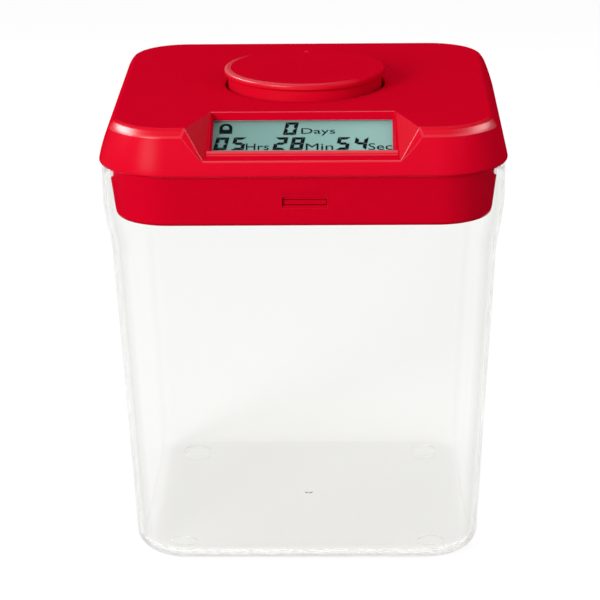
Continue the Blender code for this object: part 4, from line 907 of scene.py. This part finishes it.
def mix_colour(tree, factor, first, second):
    """Colour mix of two colours or sockets by a factor socket."""
    node = add_node(tree, "Mix", factor)
    node.data_type = "RGBA"
    for socket, value in zip([s for s in node.inputs if s.type == "RGBA"], (first, second)):
        if isinstance(value, (tuple, list)):
            socket.default_value = (*value[:3], 1)
        else:
            tree.links.new(value, socket)
    return [s for s in node.outputs if s.type == "RGBA"][0]


def mix_shaders(tree, factor, first, second):
    """Mix of two shader nodes by a factor socket."""
    return add_node(tree, "MixShader", factor, first.outputs[0], second.outputs[0])


def new_material(name):
    """Material with nodes. Returns it, its tree and its Principled shader."""
    material = bpy.data.materials.new(name)
    material.use_nodes = True
    return material, material.node_tree, material.node_tree.nodes["Principled BSDF"]


def new_finish(name, colour, rough, metal=0.0, spread=0.06, rough_spread=0.06, bump=0.02, fine=2500.0,
               coarse=60.0, wear=0.15, dust=0.05, worn=None, **sockets):
    """Principled material with grain, worn edges and dust. Returns the material, its tree and shader."""
    material, tree, shader = new_material(name)
    grain = use_group(tree, "grain", Fine=fine, Coarse=coarse)
    dark = [c * (1 - spread) for c in colour]
    light = [min(1, c * (1 + spread)) for c in colour]
    worn = worn or [min(1, c * 1.25 + 0.02) for c in colour]
    shade = mix_colour(tree, grain["Shade"], dark, light)
    shade = mix_colour(tree, use_group(tree, "wear", Amount=wear)["Mask"], shade, worn)
    shade = mix_colour(tree, use_group(tree, "dust", Amount=dust)["Mask"], shade, (0.62, 0.60, 0.57))
    rough_value = map_range(tree, grain["Shade"], rough - rough_spread, rough + rough_spread)
    relief = add_node(tree, "Bump", Strength=bump, Distance=0.0002, Height=grain["Height"])
    feed(shader, Metallic=metal, Base_Color=shade, Roughness=rough_value, Normal=relief.outputs["Normal"],
         **sockets)
    return material, tree, shader

# %% [markdown]
# Clear plastic bends light like glass but lets shadows stay bright. The shader keeps plain metallic and
# transmission values, and shadow rays pass straight through it, which a small studio scene needs if
# the floor under the container isn't to turn dark. A wall seen edge-on is painted grey by the Layer
# Weight's facing value, more as the path through the wall grows: a painted shade for its dark edges.
# Light that is trapped in a wall leaves it after a few bounces, greyed there as a painted shade, where it
# would otherwise end as a black line. A ray that goes straight through one face goes straight through
# the next, or it would be caught in the wall. A share of plain refraction, except where light is
# reflected totally, weakens the studio's mirror image as a photographer's polarising filter does.

# %% Clear plastic
MOST_CLEAR_HITS, MOST_GLOSSY_HITS = 6.5, 2.5
# The greys below set a painted shade on clear walls seen edge-on and on light trapped in a wall.
EDGE_GREY, LATER_GREY, TRAPPED_GREY, FILTERED = 0.32, 0.14, 0.5, 0.97
LIGHT_TINT, EDGE_SHADE_GREY = (0.990, 0.992, 0.988), (0.60, 0.615, 0.60)
# The facing value is 0 for a face seen straight on and 1 for a face seen edge-on.
EDGE_START, EDGE_FULL, TOTAL_REFLECTION = 0.3585, 0.5472, 0.26


def clear_finish(name, colour, rough, index):
    """Transmissive material whose shadow rays pass through, with a painted shade on walls seen edge-on."""
    material, tree, shader = new_finish(name, colour, rough, spread=0.01, rough_spread=rough * 0.6,
                                        bump=0.004, fine=900.0, coarse=25.0, wear=0.0, dust=0.0,
                                        Transmission_Weight=1.0, IOR=index,
                                        Specular_Tint=(0.0, 0.0, 0.0, 1))
    rays = add_node(tree, "LightPath").outputs
    facing = add_node(tree, "LayerWeight", Blend=0.5).outputs["Facing"]
    trapped = either(tree, math_node(tree, "GREATER_THAN", rays["Transmission Depth"], MOST_CLEAR_HITS),
                     math_node(tree, "GREATER_THAN", rays["Glossy Depth"], MOST_GLOSSY_HITS))
    passed = math_node(tree, "GREATER_THAN", rays["Transparent Depth"], 0.5)
    steep = map_range(tree, facing, -0.52, 1.21)
    hits = math_node(tree, "ADD", rays["Ray Depth"], rays["Transparent Depth"])
    weight = map_range(tree, math_node(tree, "LESS_THAN", hits, 0.5), LATER_GREY, 1.0)
    # Painted shade: a face seen edge-on is greyed by its facing value, more as the path through the wall
    # grows.
    thick_edge_shade = map_range(tree, facing, 0.0, EDGE_GREY, EDGE_START, EDGE_FULL)
    thick_edge_shade = math_node(tree, "DIVIDE", thick_edge_shade, math_node(tree, "MAXIMUM", steep, 0.1))
    # Painted shade from edges and trapped light; on shadow rays the same grey dims light that crosses a wall
    # steeply.
    grey = either(tree, math_node(tree, "MULTIPLY", weight, thick_edge_shade),
                  math_node(tree, "MULTIPLY", trapped, TRAPPED_GREY),
                  math_node(tree, "MULTIPLY", steep, rays["Is Shadow Ray"]))
    through = add_node(tree, "BsdfTransparent", Color=mix_colour(tree, grey, LIGHT_TINT, EDGE_SHADE_GREY))
    entering = add_node(tree, "BsdfRefraction", Color=(*(channel ** 0.5 for channel in colour), 1),
                        Roughness=rough, IOR=index)
    inside = add_node(tree, "NewGeometry").outputs["Backfacing"]
    bent = either(tree, math_node(tree, "SUBTRACT", 1.0, inside),
                  math_node(tree, "LESS_THAN", facing, TOTAL_REFLECTION))
    filtered = mix_shaders(tree, map_range(tree, bent, 0.0, FILTERED), shader, entering)
    straight = either(tree, rays["Is Shadow Ray"], rays["Is Diffuse Ray"], steep, trapped, passed)
    chosen = mix_shaders(tree, straight, filtered, through)
    feed(tree.nodes["Material Output"], Surface=chosen.outputs[0])
    return material


clear_plastic = clear_finish("clear_styrene", (0.926, 0.931, 0.920), 0.015, 1.42)
window_plastic = clear_finish("lens_clear", (0.98, 0.985, 0.98), 0.02, 1.30)

# %% [markdown]
# The lid's red plastic is matte on its flat top, as a spark-eroded mould leaves it, while its edges and
# beads are polished. The base is all diffuse and the gloss is a coat whose weight is the number kept on
# each face, so the top keeps its full colour and the edges still catch the lamps.

# %% Opaque finishes
lid_red, red_tree, red_shader = new_finish("red_moulded_plastic", (0.60, 0.001, 0.016), 0.55, spread=0.04,
                                           rough_spread=0.05, bump=0.03, wear=0.0, dust=0.01,
                                           worn=(0.75, 0.01, 0.04), Specular_IOR_Level=0.0,
                                           Coat_Roughness=0.30, Coat_IOR=1.5)
feed(red_shader, Coat_Weight=use_group(red_tree, "polish", Amount=1.0)["Weight"])
INK = {"wear": 0, "dust": 0, "Specular_IOR_Level": 0.0}
lcd_ink = new_finish("display_ink", (0.006, 0.009, 0.010), 0.5, **INK)[0]
word_ink = new_finish("display_word_ink", (0.010, 0.014, 0.015), 0.5, **INK)[0]
nylon = new_finish("white_nylon", (0.80, 0.79, 0.74), 0.45, spread=0.03, wear=0.2)[0]
black_plastic = new_finish("black_moulding", (0.028, 0.028, 0.030), 0.45, spread=0.25, bump=0.06, wear=0.4,
                           worn=(0.10, 0.10, 0.10))[0]
METAL = {"metal": 1.0, "rough_spread": 0.10, "bump": 0.05, "wear": 0.3, "dust": 0.0}
steel = new_finish("plated_steel", (0.62, 0.62, 0.64), 0.30, spread=0.08, fine=1800.0, coarse=300.0,
                   worn=(0.85, 0.85, 0.86), **METAL)[0]
brass = new_finish("turned_brass", (0.72, 0.53, 0.22), 0.30, spread=0.10, fine=2200.0, coarse=250.0,
                   worn=(0.92, 0.76, 0.42), **METAL)[0]
red_lead = new_finish("red_lead_jacket", (0.50, 0.015, 0.015), 0.42, spread=0.10, wear=0)[0]
black_lead = new_finish("black_lead_jacket", (0.02, 0.02, 0.02), 0.42, spread=0.2, wear=0)[0]
print("finishes", len(bpy.data.materials))

# %% [markdown]
# Some finishes carry a pattern. The panel of the display fades across its width, a painted shade. The
# circuit board has copper tracks under its green coat, made from square voronoi cells. The ribbon is
# striped by its conductors and the cells' dark jacket is banded along Y.

# %% Patterned finishes
def object_axis(tree, axis):
    """One coordinate of the surface point, in metres."""
    return add_node(tree, "SeparateXYZ", add_node(tree, "TexCoord").outputs["Object"]).outputs[axis]


def panel_finish():
    """Grey-green panel with a painted shade that darkens it towards the left."""
    material, tree, shader = new_finish("display_panel", (0.20, 0.37, 0.35), 0.45, bump=0.0, **INK)
    # Painted shade: the panel is darker towards its left and lighter towards its right.
    across = map_range(tree, object_axis(tree, "X"), 0.0, 1.0, -0.036, 0.036)
    shade = mix_colour(tree, across, (0.170, 0.325, 0.303), (0.322, 0.570, 0.537))
    noise = use_group(tree, "grain", Fine=4000.0, Coarse=120.0)["Shade"]
    shade = mix_colour(tree, map_range(tree, noise, 0.0, 0.12), shade, (0.30, 0.42, 0.40))
    feed(shader, Base_Color=shade)
    return material


def board_finish():
    """Green solder mask over square copper tracks."""
    material, tree, shader = new_finish("green_board", (0.02, 0.14, 0.05), 0.4, wear=0.1)
    place = add_node(tree, "TexCoord").outputs["Object"]
    cells = add_node(tree, "TexVoronoi", Vector=place, Scale=330.0)
    cells.distance, cells.feature = "CHEBYCHEV", "F1"
    lines = map_range(tree, cells.outputs["Distance"], 0.0, 1.0, 0.36, 0.40)
    shade = mix_colour(tree, lines, (0.015, 0.11, 0.04), (0.04, 0.22, 0.08))
    feed(shader, Base_Color=shade)
    return material


def striped_finish(name, first, second, axis, scale, rough=0.45, metal=0.0):
    """Stripes across one axis."""
    material, tree, shader = new_finish(name, first, rough, metal=metal, wear=0)
    wave = math_node(tree, "SINE", math_node(tree, "MULTIPLY", object_axis(tree, axis), scale), 0)
    shade = mix_colour(tree, map_range(tree, wave, 0.0, 1.0), first, second)
    feed(shader, Base_Color=shade)
    return material


panel = panel_finish()
board = board_finish()
ribbon = striped_finish("copper_ribbon", (0.50, 0.27, 0.09), (0.62, 0.40, 0.18), "X", 5200.0)
jacket = striped_finish("cell_jacket", (0.05, 0.055, 0.07), (0.09, 0.095, 0.11), "Y", 160.0, 0.3)

# %% Give every node its finish
NODE_FINISHES = [
    (window_plastic, "display_lens"), (panel, "lcd_panel"), (ribbon, "ribbon_cable"), (board, "main_board"),
    (nylon, "lcd_retainer lock_gear reduction_gear"), (brass, "motor_pinion"),
    (black_plastic, "processor_chip encoder_housing encoder_rotor push_switch"),
    (lid_red, "front_bolt rear_bolt battery_cover"), (jacket, "battery_left battery_right"),
    (red_lead, "battery_lead_left motor_lead_front"), (black_lead, "battery_lead_right motor_lead_rear"),
]
PIECE_FINISHES = [(container, clear_plastic), (cap, lid_red), (plug, lid_red), (knob, lid_red)]
PIECE_FINISHES += [(piece, lcd_ink) for piece in digits + words[-1:]]
PIECE_FINISHES += [(piece, word_ink) for piece in words[:-1]]


def dress(piece, material):
    """Put one finish on a piece or a CAD node."""
    if piece.material_slots:
        for used in piece.material_slots:
            used.material = material
    else:
        piece.data.materials.append(material)


finish_of = {name: finish for finish, names in NODE_FINISHES for name in names.split()}
for name, node in nodes.items():
    dress(node, finish_of.get(name, steel))
for piece, material in PIECE_FINISHES:
    piece.data.materials.clear()
    dress(piece, material)
print("nodes dressed", len(nodes), "pieces dressed", len(PIECE_FINISHES))

# %% [markdown]
# The studio is a pale floor that runs to the horizon under a white sky. What the camera, a reflection or
# the clear plastic sees of them is lifted to white, while the light that falls on the object stays
# plain. The floor keeps its diffuse part, so the object's shadow still shows on it.

# %% Floor and sky
def seen_rays(tree):
    """One for rays from the camera, a glossy surface or a clear one."""
    rays = add_node(tree, "LightPath").outputs
    return either(tree, rays["Is Camera Ray"], rays["Is Glossy Ray"], rays["Is Transmission Ray"])


FLOOR_SIZE, FLOOR_GREY, FLOOR_LIFT, SKY_LIGHT = 12.0, 0.50, 0.66, 0.45
WHITE = (1, 1, 1, 1)
floor_corners = [(FLOOR_SIZE * x, FLOOR_SIZE * y, 0) for x, y in ((-1, -1), (1, -1), (1, 1), (-1, 1))]
floor = add_mesh("studio_floor", floor_corners, [(0, 1, 2, 3)])
material, tree, shader = new_material("studio_floor")
feed(shader, Base_Color=(FLOOR_GREY, FLOOR_GREY, FLOOR_GREY, 1), Roughness=0.9, Specular_IOR_Level=0.0)
glow_strength = math_node(tree, "MULTIPLY", seen_rays(tree), FLOOR_LIFT)
glow = add_node(tree, "Emission", Color=WHITE, Strength=glow_strength)
both = add_node(tree, "AddShader", shader.outputs[0], glow.outputs[0])
feed(tree.nodes["Material Output"], Surface=both.outputs[0])
floor.data.materials.append(material)

world = bpy.data.worlds.new("studio_sky")
bpy.context.scene.world = world
world.use_nodes = True
tree = world.node_tree
lighting = feed(tree.nodes["Background"], Color=WHITE, Strength=SKY_LIGHT)
backdrop = add_node(tree, "Background", Color=WHITE, Strength=1.0)
feed(tree.nodes["World Output"], Surface=mix_shaders(tree, seen_rays(tree), lighting, backdrop).outputs[0])
print("floor lift", FLOOR_LIFT, "sky light", SKY_LIGHT)

# %% [markdown]
# Three large soft lamps light the object: a key from the front left, which makes the left skirt the
# brightest, a weaker fill from the right, and an overhead panel for the top of the lid. Large lamps
# keep the shadows soft, as in a product photograph. Two panels at the sides only show in glossy
# surfaces, the way a photographer draws a highlight along an edge.

# %% Lamps
def soft_lamp(name, place, size, power, target=(0, 0, 0.11)):
    """Area lamp, as wide and high as size says, aimed at a point."""
    data = bpy.data.lights.new(name, "AREA")
    data.shape, data.size, data.size_y, data.energy = "RECTANGLE", *size, power
    lamp = link_object(name, data)
    lamp.location = place
    lamp.rotation_euler = (Vector(target) - Vector(place)).to_track_quat("-Z", "Y").to_euler()
    return lamp


soft_lamp("key_lamp", (-0.90, -1.15, 0.65), (0.6, 0.6), 20.0)
soft_lamp("fill_lamp", (1.1, -0.7, 0.8), (0.8, 0.8), 3.0)
soft_lamp("top_lamp", (0.0, 0.25, 1.3), (0.9, 0.9), 3.0)
for name, side, power in (("left_panel", -1, 34.0), ("right_panel", 1, 12.0)):
    panel_lamp = soft_lamp(name, (side * 1.18, 0.29, 0.87), (1.2, 0.5), power, (0, 0, 0.18))
    panel_lamp.visible_diffuse = panel_lamp.visible_transmission = False

# %% [markdown]
# The camera stands about a metre in front, a little above the lid and looking down by eighteen degrees,
# through a long lens. These numbers come from fitting the outline of the lid, the feet and the knob to
# the picture, and the small roll belongs to the picture too.

# %% Camera
PICTURE_WIDTH = 600
FOCAL_PIXELS = 2595.34
CAMERA_PLACE = (0.02012, -1.05846, 0.44178)
PITCH, YAW, ROLL = math.radians(18.281), math.radians(1.2546), math.radians(-0.6152)
camera_data = bpy.data.cameras.new("camera")
camera_data.sensor_width = 36.0
camera_data.lens = FOCAL_PIXELS * camera_data.sensor_width / PICTURE_WIDTH
camera_data.clip_start, camera_data.clip_end = 0.01, 100.0
camera = link_object("camera", camera_data)
camera.matrix_world = (Matrix.Translation(CAMERA_PLACE) @ Matrix.Rotation(YAW, 4, "Z")
                       @ Matrix.Rotation(math.pi / 2 - PITCH, 4, "X") @ Matrix.Rotation(ROLL, 4, "Z"))
bpy.context.scene.camera = camera
bpy.context.scene.view_settings.view_transform = "Standard"
print("lens", round(camera_data.lens, 1), "mm")
